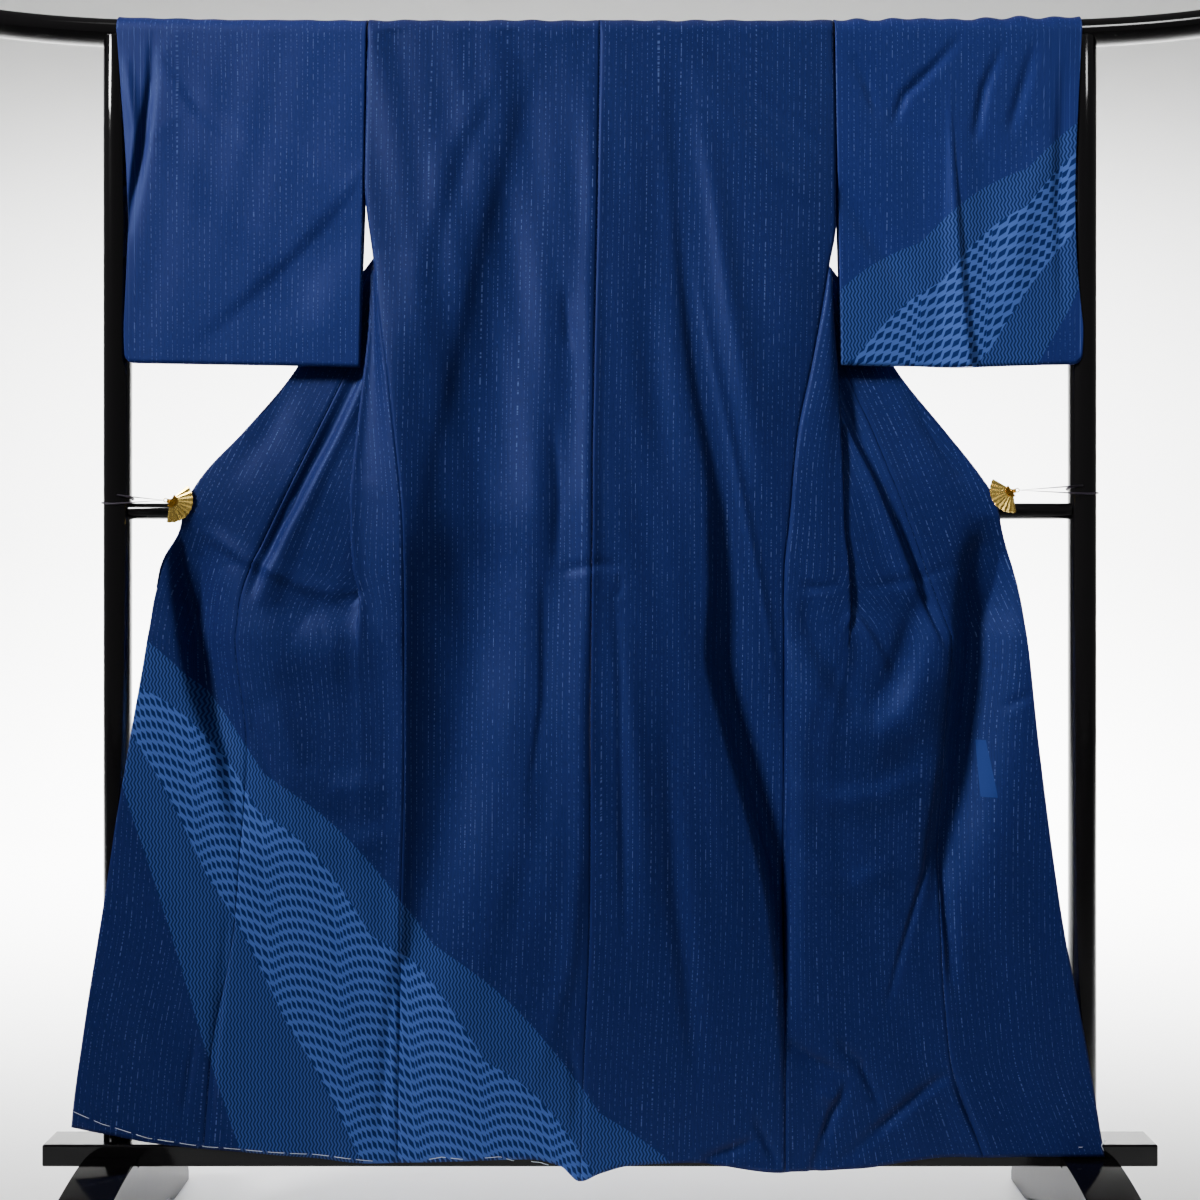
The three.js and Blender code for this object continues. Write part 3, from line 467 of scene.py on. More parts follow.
def front_section(name, z):
    """The key points (out, y) of a front panel at one height."""
    side = SIDE[name]
    seam, roll, tuck, ridge, join = [float(side.at(c, z)) for c in "seam roll tuck ridge join".split()]
    back, inner, outer = [float(DEPTHS.at(c, z)) for c in "back inner outer".split()]
    turn = 4  # the reach of a turn
    fold = 2 * float(np.clip((z - 856) / 49, 0, 1)) - 1
    crest = 5 * float(np.clip((z - 900) / 50, 0, 1) * np.clip((1330 - z) / 100, 0, 1))
    sewn = [
        (seam, back + float(SEAM_DEPTH.at(name, z))),
        (mix(seam, roll, 0.8), mix(back, inner, FLAP_LEAN[name])),
        (roll, mix(back, inner, 0.5)),
        (roll - fold * turn, inner),
    ]
    free = [(seam, inner), (seam - 5, inner), (roll, inner), (roll - 8, inner)]
    start = mix(np.array(sewn), np.array(free), ramp(z, *OPENING))
    return [
        *start,
        (mix(roll, tuck, 0.5), inner),
        (tuck + fold * turn, inner),
        (tuck, mix(inner, outer, 0.5)),
        (tuck + turn, outer),
        (mix(tuck, ridge, 0.4), outer),
        (mix(tuck, ridge, 0.75), outer - crest * 0.4),
        (ridge, outer - crest),
        (mix(ridge, join, 0.3), outer + crest * 0.3),
        (join, outer),
    ]


def front_panel(name):
    sign = SIGN[name]
    count = round(112 * FINE)
    share = np.linspace(0, 1, count) ** 0.8  # closer together at the outer folds
    rows, across = [], []
    for z in heights(HEM_Z, 1696):
        curve, length = bend_through(front_section(name, z), share)
        out, y = curve[:, 0], curve[:, 1]
        x = sign * out
        # where the panel is folded double, the layers inside the fold keep nearly plain
        innermost = np.argmin(np.where(np.arange(count) > 3, out, 999))
        outside = ramp(np.arange(count) - innermost, -2, 5)
        shows = mix(1, mix(0.1, 1, outside), ramp(z, 840, 900))
        y = y - (relief(x, z, FRONT_CREASES) + ripple(x, z, 5)) * shows
        y = clear_of_stand(y + valley_depth(name, out, z), z)
        from_seam = share * length
        sewn = 1 - ramp(z, *OPENING)  # above this the front hangs behind the rail, apart from the back
        y += sewn * (back_y(name, x[:1], z) - y[0]) * np.exp(-from_seam / 6) + groove(count, length / count)
        rows.append(np.stack([x, y, hem_height(x, z)], axis=1))
        across.append(share * FRONT_WIDTH)
    seam = float(SIDE[name].at("seam", SHOULDER_Z))
    x = sign * mix(seam, 93, share)
    rows.append(np.stack([x, np.full(count, DRAPE), np.full(count, SHOULDER_Z - 0.3)], axis=1))
    across.append(across[-1])
    return np.array(rows), np.array(across)


FRONT_WIDTH, OKUMI_WIDTH, BACK_WIDTH = 270.0, 175.0, 300.0


def clear_of_stand(y, z):
    """Keeps the cloth in front of the middle rail and the plank."""
    by_rail = -(BAR_RADIUS + 1.4) + 0.22 * max(abs(z - BAR_Z) - BAR_RADIUS, 0)
    by_plank = -(PLANK_DEPTH / 2 + 1.5) + max(z - PLANK_HIGH - 26, 0)
    return np.minimum(y, min(by_rail, by_plank))


def valley_depth(name, out, z):
    """How far the fold under the clip takes the cloth back."""
    valley = VALLEY[name]
    return two_slopes(out - valley.at("out", z), VALLEY_SLOPES[name]) * valley.at("depth", z)


def okumi_panel(name):
    sign, side = SIGN[name], SIDE[name]
    count = round(60 * FINE)
    rows, across = [], []
    for z in heights(HEM_Z, 1470):
        join, edge = float(side.at("join", z)), float(side.at("edge", z))
        out = mix(join, edge, np.linspace(0, 1, count))
        x = sign * out
        y = DEPTHS.at("outer", z) + valley_depth(name, out, z)
        y = clear_of_stand(y - relief(x, z, FRONT_CREASES) - ripple(x, z, 5), z)
        y += groove(count, (edge - join) / count) * (np.arange(count) < count / 2)
        rows.append(np.stack([x, y, hem_height(x, z)], axis=1))
        across.append(out - join)
    return np.array(rows), np.array(across)


COLLAR_END, COLLAR_WIDTH = 930.0, 55.0
COLLAR_SHARES = np.linspace(0, 1, 16)  # of its width


def collar_edge(name):
    """Stations up one front edge: a point, and which way the collar lies from it."""
    side, sign = SIDE[name], SIGN[name]
    stations = []
    for z in heights(COLLAR_END, 1690, 9):
        out, above = float(side.at("edge", z)), float(side.at("edge", z + 20))
        slope = np.array([20.0, out - above]) / math.hypot(20, out - above)
        turn = 1 if z > 1600 else float(np.clip((z - 960) / 120, 0.35, 1))
        inward = np.array([-sign * mix(1, slope[0], turn), -slope[1] * turn])
        stations.append((sign * out, z, inward / np.hypot(*inward)))
    return stations


def collar_on_front(name, x, z, inward):
    """The collar's points across one station of a front edge, from the edge's face to behind the panel."""
    points = []
    for share in COLLAR_SHARES:
        turn = min(share / 0.1, 1.0)
        reach = -1.6 * math.sin(math.pi * turn) + COLLAR_WIDTH * max(share - 0.05, 0) / 0.95
        px, pz = x + inward[0] * reach, z + inward[1] * reach
        valley = float(valley_depth(name, abs(px), pz)) * 1.15
        off_shoulder = 1.5 if z > 1600 else 0
        points.append((px, float(DEPTHS.at("outer", pz)) + valley + 3.7 * turn + off_shoulder, pz))
    return points


def collar_on_neck(x):
    """The collar's points at one place behind the neck."""
    down = np.array([-x / 150, -1]) / math.hypot(x / 150, 1)
    points = []
    for share in COLLAR_SHARES:
        reach = COLLAR_WIDTH * share
        away = float(smooth([0, 4, 9, 27, 55], [0.4, 2.6, 4.4, 7, 8], reach))
        points.append((x + down[0] * reach, DRAPE + away, SHOULDER_Z - 0.3 + down[1] * reach))
    return points


def collar_strip():
    """The collar from the left front end round the neck to the right one, turned under behind."""
    up_left = [collar_on_front("left", *station) for station in collar_edge("left")]
    round_neck = [collar_on_neck(x) for x in np.linspace(-84, 84, 25)]
    down_right = [collar_on_front("right", *station) for station in collar_edge("right")[::-1]]
    return np.array(up_left + round_neck + down_right)


GATHERS = {"left": 0.5, "right": 1.8}  # how high the cloth bunches over the rail


def sleeve_bag(name):
    sign, rings = SIGN[name], SLEEVE_RINGS[name]
    steps = round(84 * FINE)
    rows = []
    for ring in np.linspace(0, 11, round(160 * FINE)):
        top, low, low_z = [float(rings.at(c, ring)) for c in ("top", "low", "low_z")]
        gather = GATHERS[name] * max(0, float(bumps(top, 90)))
        over = []
        for angle in np.linspace(0, math.pi, 15):
            radius = DRAPE + 0.4 + gather * math.sin(angle) ** 2
            y, z = -radius * math.cos(angle), rail_z(top) + radius * math.sin(angle)
            over.append((sign * top, y, z))
        layers = []
        for layer in (-1, 1):
            share = np.arange(1, steps + 1) / steps
            out = mix(top, low, share)
            if layer > 0:  # the far layer hangs a little inside the near one at the cuff
                draw = 30 * np.sin(np.pi * np.minimum(share, 0.5)) * max(0, 1 - ring / 5)
                out = out - draw * mix(1, 0.3, ramp(share, 0.9, 1))
            z = mix(float(rail_z(top)), low_z, share)
            half = mix(DRAPE + 0.6, 3, share ** 0.9)
            y = -16 * share + layer * half
            folds = relief(sign * out, z, SLEEVE_CREASES) + ripple(out, z, 12, size=90, height=0.35)
            y -= folds * (1.0 if layer < 0 else 0.7) * np.sin(np.pi * np.clip(share, 0.04, 0.9)) ** 0.5
            if layer < 0:
                y -= pleat(sign * out, z)
            layers.append(clear_of_post(np.stack([sign * out, y, z], axis=1), sign))
        rows.append(np.concatenate([over, layers[1], layers[0][::-1]]))
    return np.array(rows)


def clear_of_post(points, sign):
    """Moves what would lie in a post out to its surface."""
    axis = np.array([sign * POST_X, 0.0])
    away = points[:, :2] - axis
    distance = np.maximum(np.hypot(*away.T), 1e-6)
    least = POST_RADIUS + 1.9
    inside = (distance < least) & (points[:, 2] < RAIL_Z - 5)
    scale = np.where(inside, least / distance, 1.0)[:, None]
    points[:, :2] = axis + away * scale
    return points


# ---------------------------------------------------------------- meshes
def grid_faces(rows, cols, loop=False):
    """The faces between the points of a grid; a loop also joins its last column to its first."""
    at = np.arange(rows * cols).reshape(rows, cols)
    right = np.roll(at, -1, axis=1) if loop else at[:, 1:]
    left = at if loop else at[:, :-1]
    return np.stack([left[:-1], right[:-1], right[1:], left[1:]], axis=-1).reshape(-1, 4).tolist()


def mesh_from(name, points, faces, smooth=False):
    """A mesh of points given in millimetres."""
    mesh = bpy.data.meshes.new(name)
    mesh.from_pydata((np.asarray(points, float).reshape(-1, 3) * MM).tolist(), [], faces)
    if smooth:
        mesh.polygons.foreach_set("use_smooth", np.ones(len(faces), bool))
    return mesh


def linked(name, data, material, bevel=0.0):
    """An object in the scene, with its material and its edges rounded by bevel (millimetres)."""
    obj = bpy.data.objects.new(name, data)
    bpy.context.collection.objects.link(obj)
    data.materials.append(material)
    if bevel:
        modifier = obj.modifiers.new("bevel", "BEVEL")
        modifier.width, modifier.segments, modifier.limit_method = bevel * MM, 4, "ANGLE"
        modifier.harden_normals = True
    return obj


def cloth_shell(name, grid, uv, material, loop=False, thickness=0.7):
    """A smooth shell of cloth over a grid of points, with uv in metres of cloth."""
    rows, cols = grid.shape[:2]
    faces = grid_faces(rows, cols, loop)
    mesh = mesh_from(name, grid, faces, smooth=True)
    corners = uv.reshape(-1, 2)[np.reshape(faces, -1)].reshape(-1, cols if loop else cols - 1, 4, 2)
    if loop:  # the last column of faces closes the round, so its far corners carry the full length
        full = uv[:, -1] + uv[:, 1] - uv[:, 0]
        corners[:, -1, 1] = full[:-1]
        corners[:, -1, 2] = full[1:]
    layer = mesh.uv_layers.new(name="cloth")
    layer.data.foreach_set("uv", corners.reshape(-1).astype(np.float32))
    obj = linked(name, mesh, material)
    solidify = obj.modifiers.new("thickness", "SOLIDIFY")
    solidify.thickness, solidify.offset = thickness * MM, 0
    return obj


def cord(name, strands, radius, material, cyclic=False, resolution=4):
    """Round cord, wire or thread along one or more lines of points in millimetres."""
    curve = bpy.data.curves.new(name, "CURVE")
    curve.dimensions = "3D"
    curve.bevel_depth, curve.bevel_resolution = radius * MM, resolution
    for points in strands:
        spline = curve.splines.new("POLY")
        spline.points.add(len(points) - 1)
        spline.use_cyclic_u = cyclic
        for knot, (x, y, z) in zip(spline.points, points):
            knot.co = (x * MM, y * MM, z * MM, 1)
    return linked(name, curve, material)


def along_columns(grid):
    """How far up its own thread each point is, in metres."""
    steps = np.linalg.norm(np.diff(grid, axis=0), axis=2)
    return np.concatenate([np.zeros((1, grid.shape[1])), np.cumsum(steps, axis=0)]) * MM


# ---------------------------------------------------------------- materials
class Value:
    """A number, vector or colour inside a shader. Sums and products of it add the nodes for them."""

    def __init__(self, shader, socket):
        self.shader = shader
        self.socket = socket

    def math(self, operation, *others):
        return self.shader.math(operation, self, *others)

    def __add__(self, other):
        return self.math("ADD", other)

    def __sub__(self, other):
        return self.math("SUBTRACT", other)

    def __rsub__(self, other):
        return self.shader.math("SUBTRACT", other, self)

    def __mul__(self, other):
        return self.math("MULTIPLY", other)

    def __truediv__(self, other):
        return self.math("DIVIDE", other)


class Shader:
    """A material's node tree, with short calls for the nodes that it uses."""

    def __init__(self, name, **constants):
        self.material = bpy.data.materials.new(name)
        self.material.use_nodes = True
        self.tree = self.material.node_tree
        self.surface = self.tree.nodes["Principled BSDF"].inputs
        for socket, value in constants.items():
            self.put(socket.replace("_", " "), value)

    def put(self, socket, value):
        """Sets or links a socket, which may be given by its name on the surface."""
        if isinstance(socket, str):
            socket = self.surface[socket]
        if isinstance(value, Value):
            self.tree.links.new(value.socket, socket)
        else:
            socket.default_value = value

    def add(self, kind, inputs=None, output=0, **settings):
        """A new node, given back as the value of one of its outputs."""
        node = self.tree.nodes.new(kind)
        for key, value in settings.items():
            setattr(node, key, value)
        for key, value in (inputs or {}).items():
            self.put(node.inputs[key], value)
        return Value(self, node.outputs[output])

    def math(self, operation, *values, clamp=False):
        return self.add("ShaderNodeMath", dict(enumerate(values)), operation=operation, use_clamp=clamp)

    def step(self, value, low, high):
        """0 at low, 1 at high, and an even S between them."""
        ends = {"Value": value, "From Min": low, "From Max": high}
        return self.add("ShaderNodeMapRange", ends, interpolation_type="SMOOTHSTEP")

    def blend(self, factor, a, b):
        return self.add("ShaderNodeMix", {"Factor": factor, "A": a, "B": b}, "Result", data_type="RGBA")

    def noise(self, vector, scale, detail=2.0):
        return self.add("ShaderNodeTexNoise", {"Vector": vector, "Scale": scale, "Detail": detail}, "Fac")

    def vector(self, x, y):
        return self.add("ShaderNodeCombineXYZ", {"X": x, "Y": y})

    def split(self, vector):
        """The x, y and z of a vector."""
        first = self.add("ShaderNodeSeparateXYZ", {"Vector": vector})
        return [Value(self, output) for output in first.socket.node.outputs]

    def on_object(self):
        """Where a point lies on its object, in metres, which is also its place in the scene."""
        return self.add("ShaderNodeTexCoord", output="Object")

    def bump(self, height, distance, strength=1.0):
        inputs = {"Height": height, "Distance": distance, "Strength": strength}
        self.put("Normal", self.add("ShaderNodeBump", inputs))


def srgb(red, green, blue):
    """A colour given as it looks on screen (0 to 255), for a shader."""
    linear = [c / 12.92 if c <= 0.04045 else ((c + 0.055) / 1.055) ** 2.4
              for c in (red / 255, green / 255, blue / 255)]
    return (*linear, 1.0)


BODY_NAVY = srgb(18, 25, 66), srgb(26, 35, 90)
# The sleeves' navy is a lighter copy of the body's navy: painted light, because the sleeves take more of the
# light than the body does.
SLEEVE_NAVY_PAINTED_LIGHT = srgb(21, 29, 76), srgb(31, 42, 104)
THREAD = srgb(84, 106, 160)
ZIG_DARK, ZIG_LIGHT = srgb(15, 28, 72), srgb(48, 70, 126)
LOZENGE_DARK, LOZENGE_GROUND = srgb(16, 30, 78), srgb(60, 87, 153)
MARK = srgb(30, 46, 102)
PAPER, PAPER_FRONT = (0.88, 0.88, 0.87, 1.0), (0.32, 0.32, 0.32, 1.0)
STRIPE_PITCH, RIB_PITCH = 0.0076, 0.0019  # of the pinstripes and the woven ribs, in metres
ZIG_PITCH, ZIG_HEIGHT = 0.0048, 0.0058  # between two zigzag lines, and of one stroke
ARC_WIDTH, ROW_HEIGHT, ARC_LIFT = 0.0946, 0.0158, 0.020  # of the rows of lozenges
FULL_TURN = 2 * math.pi


def pinstripes(s, u, v, ground_colours):
    """Navy ground with fine ribs and broken pale pinstripes that follow the threads."""
    drift = s.noise(s.vector(u * 90.0, v * 1.5), 1.0, 1.0)
    lane = (u + drift * 0.009) / STRIPE_PITCH
    cell = lane.math("FLOOR")
    off = (lane.math("FRACT") - 0.5).math("ABSOLUTE")
    line = s.step(off, 0.085, 0.02)
    dash = s.step(s.noise(s.vector(cell * 7.31, v * 300.0), 1.0, 1.0), 0.48, 0.60)
    fade = s.step(s.noise(s.vector(cell * 3.7, v * 14.0), 1.0), 0.3, 0.7)
    strength = s.math("MULTIPLY", line * dash, fade * 0.45 + 0.5, clamp=True)
    ribs = (u * (FULL_TURN / RIB_PITCH)).math("SINE")
    broken = s.noise(s.vector(u * 520.0, v * 90.0), 1.0)
    grain = s.math("MULTIPLY", ribs * 0.25 + broken, 0.8, clamp=True)
    ground = s.blend(grain, *ground_colours)
    return s.blend(strength * 0.65, ground, THREAD), strength, grain


def zigzags(s, x, z):
    """Fine upright zigzag lines."""
    lane = (x + z.math("PINGPONG", ZIG_HEIGHT) * 0.5) / ZIG_PITCH
    wave = (lane * FULL_TURN).math("SINE")
    return s.blend(s.step(wave, -0.5, 0.6), ZIG_DARK, ZIG_LIGHT)


def lozenges(s, x, z, tilt, first_cusp, count):
    """Rows of dark slanted lozenges on a bright ground; each row rises and falls in arcs between cusps."""
    arc = ((x - first_cusp) / ARC_WIDTH + z * 0.6).math("FRACT")
    rise = 1.0 - (1.0 - arc).math("POWER", 4.0)
    lift = (rise - arc.math("POWER", 1.7)) * ARC_LIFT
    row = (z + x * tilt - lift) / ROW_HEIGHT
    up = row.math("FRACT") - 0.5
    lane = arc.math("POWER", 0.72) * count + (up * 0.4 + row.math("FLOOR"))
    side = lane.math("FRACT") - 0.5
    wide = side.math("ABSOLUTE") / 0.34
    tall = (up + side * 0.45).math("ABSOLUTE") / 0.29
    return s.blend(s.step(wide.math("MAXIMUM", tall), 0.9, 1.15), LOZENGE_DARK, LOZENGE_GROUND)


# The bands' edges, from the top down, are slanting lines z = height + slope * x (metres), scalloped with
# a period and a rise. The lozenges of the sleeve run the other way.
BODY_BANDS = {
    "edges": [(0.197, -1.0, 0.235, 0.030), (0.097, -1.08, 0.160, 0.028), (-0.490, -1.85, 0.11, 0.012),
              (-1.453, -3.15, 0.11, 0.01)],
    "lozenges": {"tilt": 0.06, "first_cusp": -0.530, "count": 13.4},
    "direction": 1.0,
}
SLEEVE_BANDS = {
    "edges": [(1.102, 0.693, 0.150, 0.016), (0.933, 0.888, 0.120, 0.014), (0.491, 1.41, 0.11, 0.01),
              (0.040, 1.94, 0.11, 0.01)],
    "lozenges": {"tilt": -0.12, "first_cusp": -0.565, "count": 9.6},
    "direction": -1.0,
}


def below(s, x, z, edge):
    """1 under one edge of the bands, 0 above it."""
    height, slope, period, rise = edge
    arc = (x / period).math("FRACT")
    line = x * slope + height + (arc * math.pi).math("SINE") * rise
    return s.step(z - line, 0.0007, -0.0007)


def banded(s, x, z, stripes, bands):
    """Zigzags, lozenges and zigzags again, in slanting bands over the striped cloth."""
    zigzag = zigzags(s, x, z)
    lozenge = lozenges(s, x * bands["direction"], z, **bands["lozenges"])
    colour = stripes
    for edge, under in zip(bands["edges"], (zigzag, lozenge, zigzag, stripes)):
        colour = s.blend(below(s, x, z, edge), colour, under)
    return colour


def faded_mark(s, x, z, colour):
    """The small pale four-sided mark on the right overlap panel."""
    from_left = x - (0.5640 - z * 0.0426)
    from_right = 0.6568 - z * 0.154 - x
    upright = (z - 0.634).math("MINIMUM", 0.714 - z)
    inside = from_left.math("MINIMUM", from_right).math("MINIMUM", upright)
    return s.blend(s.step(inside, 0.0, 0.0008), colour, MARK)


def cloth_material(name, bands=None, ground=BODY_NAVY, marked=False):
    s = Shader(name, Roughness=0.52, Specular_IOR_Level=0.22, Specular_Tint=(0.25, 0.42, 1.0, 1.0))
    u, v, _ = s.split(s.add("ShaderNodeUVMap", uv_map="cloth"))
    colour, strength, grain = pinstripes(s, u, v, ground)
    if bands:
        x, _, z = s.split(s.on_object())
        colour = banded(s, x, z, colour, bands)
    if marked:
        colour = faded_mark(s, x, z, colour)
    s.put("Base Color", colour)
    s.bump(grain * 0.5 + strength, 0.00025, 0.6)
    return s.material


def lacquer_material():
    s = Shader("lacquer", Base_Color=srgb(7, 6, 7), Specular_IOR_Level=0.4)
    s.put("Roughness", s.noise(s.on_object(), 14.0, 4.0) * 0.08 + 0.07)
    s.bump(s.noise(s.on_object(), 60.0, 3.0), 0.0004, 0.25)
    return s.material


def gold_material(name, tone):
    s = Shader(name, Base_Color=tone, Metallic=1.0)
    s.put("Roughness", s.noise(s.on_object(), 400.0) * 0.15 + 0.18)
    s.bump(s.noise(s.on_object(), 900.0), 0.0001, 0.3)
    return s.material


def plain_material(name, colour, roughness):
    """A plain colour, a little darker in patches."""
    s = Shader(name, Roughness=roughness)
    darker = tuple(0.7 * c for c in colour[:3]) + (1.0,)
    s.put("Base Color", s.blend(s.noise(s.on_object(), 300.0) * 0.2, colour, darker))
    return s.material


def studio_paper():
    """Pale paper, a little greyer in front of the stand so that it throws less light up the cloth."""
    s = Shader("studio_paper", Roughness=0.9)
    _, y, _ = s.split(s.on_object())
    s.put("Base Color", s.blend(s.step(y, -0.9, 0.1), PAPER_FRONT, PAPER))
    return s.material


# ---------------------------------------------------------------- the stand's pieces
def bar_mesh(name, path, radius, sides=48, edge=1.2):
    """A round bar along a path in the X-Z plane, its end edges rounded."""
    path = np.asarray(path, float)
    along = np.gradient(path, axis=0)
    along /= np.linalg.norm(along, axis=1)[:, None]
    # how far in each end ring lies, and how much its radius lacks
    insets = [(0.0, edge), (0.3 * edge, 0.3 * edge), (edge, 0.0)]
    stations = [(path[0] + along[0] * inset, along[0], radius - less) for inset, less in insets]
    stations += [(point, direction, radius) for point, direction in zip(path[1:-1], along[1:-1])]
    stations += [(path[-1] - along[-1] * inset, along[-1], radius - less) for inset, less in insets[::-1]]
    side = np.array([0.0, 1.0, 0.0])
    angles = np.linspace(0, FULL_TURN, sides, endpoint=False)
    rings = []
    for centre, direction, reach in stations:
        up = np.cross(direction, side)
        up /= np.linalg.norm(up)
        rings.append(centre + reach * (np.outer(np.cos(angles), side) + np.outer(np.sin(angles), up)))
    last = (len(rings) - 1) * sides
    caps = [list(range(sides))[::-1], list(range(last, last + sides))]
    mesh = mesh_from(name, rings, grid_faces(len(rings), sides, loop=True) + caps)
    mesh.polygons.foreach_set("use_smooth", [len(face.vertices) == 4 for face in mesh.polygons])
    return mesh


def top_rail(material):
    path = [(x, 0, float(rail_z(x))) for x in np.linspace(-RAIL_HALF, RAIL_HALF, 81)]
    return linked("stand_top_rail", bar_mesh("stand_top_rail", path, RAIL_RADIUS), material)


def post(name, sign, material):
    path = [(sign * POST_X, 0, z) for z in np.linspace(PLANK_HIGH + 0.3, RAIL_Z - 3, 12)]
    return linked(name, bar_mesh(name, path, POST_RADIUS), material)


def middle_rail(material):
    half = POST_X - POST_RADIUS + 1.5
    path = [(x, 0, BAR_Z) for x in np.linspace(-half, half, 12)]
    return linked("stand_middle_rail", bar_mesh("stand_middle_rail", path, BAR_RADIUS, edge=0.3), material)


def outline_mesh(name, outline, x_low, x_high):
    """A solid of an outline in Y and Z drawn out along X."""
    count = len(outline)
    points = [(x, y, z) for x in (x_low, x_high) for y, z in outline]
    faces = [(k, (k + 1) % count, (k + 1) % count + count, k + count) for k in range(count)]
    faces += [tuple(range(count))[::-1], tuple(range(count, 2 * count))]
    mesh = mesh_from(name, points, faces)
    tidy = bmesh.new()
    tidy.from_mesh(mesh)
    bmesh.ops.recalc_face_normals(tidy, faces=tidy.faces)
    tidy.to_mesh(mesh)
    tidy.free()
    mesh.polygons.foreach_set("use_smooth", np.ones(len(mesh.polygons), bool))
    return mesh


def plank(material):
    y = PLANK_DEPTH / 2
    outline = [(-y, PLANK_LOW), (y, PLANK_LOW), (y, PLANK_HIGH), (-y, PLANK_HIGH)]
    mesh = outline_mesh("stand_plank", outline, -PLANK_LENGTH / 2, PLANK_LENGTH / 2)
    return linked("stand_plank", mesh, material, bevel=3.0)



def curve_points(start, controls, end, count):
    """A Bezier arc's points after its start, up to and with its end."""
    points = [np.array(p, float) for p in (start, *controls, end)]
    out = []
    for t in np.linspace(0, 1, count + 1)[1:]:
        level = points
        while len(level) > 1:
            level = [mix(a, b, t) for a, b in zip(level, level[1:])]
        out.append(tuple(level[0]))
    return out


def foot(name, sign, material):
    reach, top, arch, arch_reach, toe = FOOT_REACH, FOOT_TOP, 22, 132, 14
    notch = PLANK_DEPTH / 2 + 0.3
    half = [(0, arch)]
    half += curve_points((0, arch), [(arch_reach * 0.55, arch)], (arch_reach - 12, arch * 0.55), 8)
    half += curve_points(half[-1], [(arch_reach, 1)], (arch_reach + 14, 0), 6)
    half += [(reach, 0), (reach, toe)]
    half += curve_points((reach, toe), [(reach - 20, 62), (reach - 62, top - 24)], (125, top - 17), 20)
    half += curve_points((125, top - 17), [(70, top - 2)], (notch, top), 8)
    half += [(notch, PLANK_LOW - 0.3)]
    outline = half + [(-y, z) for y, z in half[:0:-1]]
    x = sign * POST_X
    mesh = outline_mesh(name, outline, x - FOOT_WIDTH / 2, x + FOOT_WIDTH / 2)
    return linked(name, mesh, material, bevel=2.0)


# ---------------------------------------------------------------- the clips
# How far out and how high each fan's root is, and the angles of its first and last rib.
CLIPS = {"left": (602, 1052, 40, -100), "right": (578, 1066, 30, -100)}
FAN_RADII, FAN_PLEATS, FAN_Y = (5, 10, 17, 24, 31.0), 10, -24.2
RIB_BULGE = 1.3  # how far every other rib's end stands out
RING_OUT, RING_RADIUS, RING_WIRE = 7.0, 2.6, 0.7
ELASTIC_RADIUS = 1.3


def fan_plate(name, gold):
    """The fan's ten pleats, spread from its root."""
    out, z, start, end = CLIPS[name]
    points = []
    ribs = 2 * FAN_PLEATS + 1
    for k in range(ribs):
        angle = math.radians(mix(start, end, k / (ribs - 1)))
        lift = -1 if k % 2 else 1
        for j, radius in enumerate(FAN_RADII):
            reach = radius + (RIB_BULGE if k % 2 and radius == FAN_RADII[-1] else 0)
            points.append((SIGN[name] * (out - reach * math.cos(angle)), FAN_Y + lift * j / 4,
                           z + reach * math.sin(angle)))
    mesh = mesh_from(f"fan_{name}", points, grid_faces(ribs, len(FAN_RADII)))
    fan = linked(f"fan_{name}", mesh, gold)
    plate = fan.modifiers.new("plate", "SOLIDIFY")
    plate.thickness, plate.offset = 0.9 * MM, 0
    edges = fan.modifiers.new("edges", "BEVEL")
    edges.width, edges.segments = 0.25 * MM, 2
    return fan


def moved_to(x, y, z):
    return Matrix.Translation((x * MM, y * MM, z * MM))


def mesh_of(name, shape):
    """Closes a bmesh into a mesh."""
    mesh = bpy.data.meshes.new(name)
    shape.to_mesh(mesh)
    shape.free()
    return mesh


def fan_boss(name, dark):
    """The half-round plate over the fan's root, with a rivet."""
    out, z, start, end = CLIPS[name]
    sign = SIGN[name]
    radius, y, thickness = 9.5, FAN_Y - 1.2, 1.2
    outline = [(out - 1, z - 1)]
    for angle in np.radians(np.linspace(start + 15, end - 15, 22)):
        outline.append((out - radius * math.cos(angle), z + radius * math.sin(angle)))
    shape = bmesh.new()
    face = shape.faces.new([shape.verts.new((sign * px * MM, y * MM, pz * MM)) for px, pz in outline])
    front = bmesh.ops.extrude_face_region(shape, geom=[face])["geom"]
    moved = [vertex for vertex in front if isinstance(vertex, bmesh.types.BMVert)]
    bmesh.ops.translate(shape, verts=moved, vec=(0, -thickness * MM, 0))
    bmesh.ops.create_uvsphere(shape, u_segments=16, v_segments=8, radius=1.8 * MM,
                              matrix=moved_to(sign * (out - 1.5), y - thickness, z - 1))
    bmesh.ops.recalc_face_normals(shape, faces=shape.faces)
    return linked(f"fan_boss_{name}", mesh_of(f"fan_boss_{name}", shape), dark, bevel=0.3)


def fan_jaw(name, gold):
    """The sprung jaw behind the cloth, and the bridge round its edge."""
    out, z, _, _ = CLIPS[name]
    jaw = (26, 1.0, 7), (out - 8, -13.4)
    bridge = (2.2, 11.5, 6.4), (out + 4, FAN_Y + 5.6)
    shape = bmesh.new()
    for size, (x, y) in (jaw, bridge):
        scale = Matrix.Diagonal((*(side * MM for side in size), 1))
        bmesh.ops.create_cube(shape, size=1, matrix=moved_to(SIGN[name] * x, y, z - 1) @ scale)
    return linked(f"fan_jaw_{name}", mesh_of(f"fan_jaw_{name}", shape), gold, bevel=0.4)


def fan_ring(name, gold):
    """The small wire ring that the elastic goes through."""
    out, z, _, _ = CLIPS[name]
    x, y = SIGN[name] * (out + RING_OUT), FAN_Y + 0.5
    angles = np.linspace(0, FULL_TURN, 28, endpoint=False)
    line = [(x + RING_RADIUS * math.cos(a), y, z + RING_RADIUS * math.sin(a)) for a in angles]
    return cord(f"fan_ring_{name}", [line], RING_WIRE, gold, cyclic=True, resolution=3)


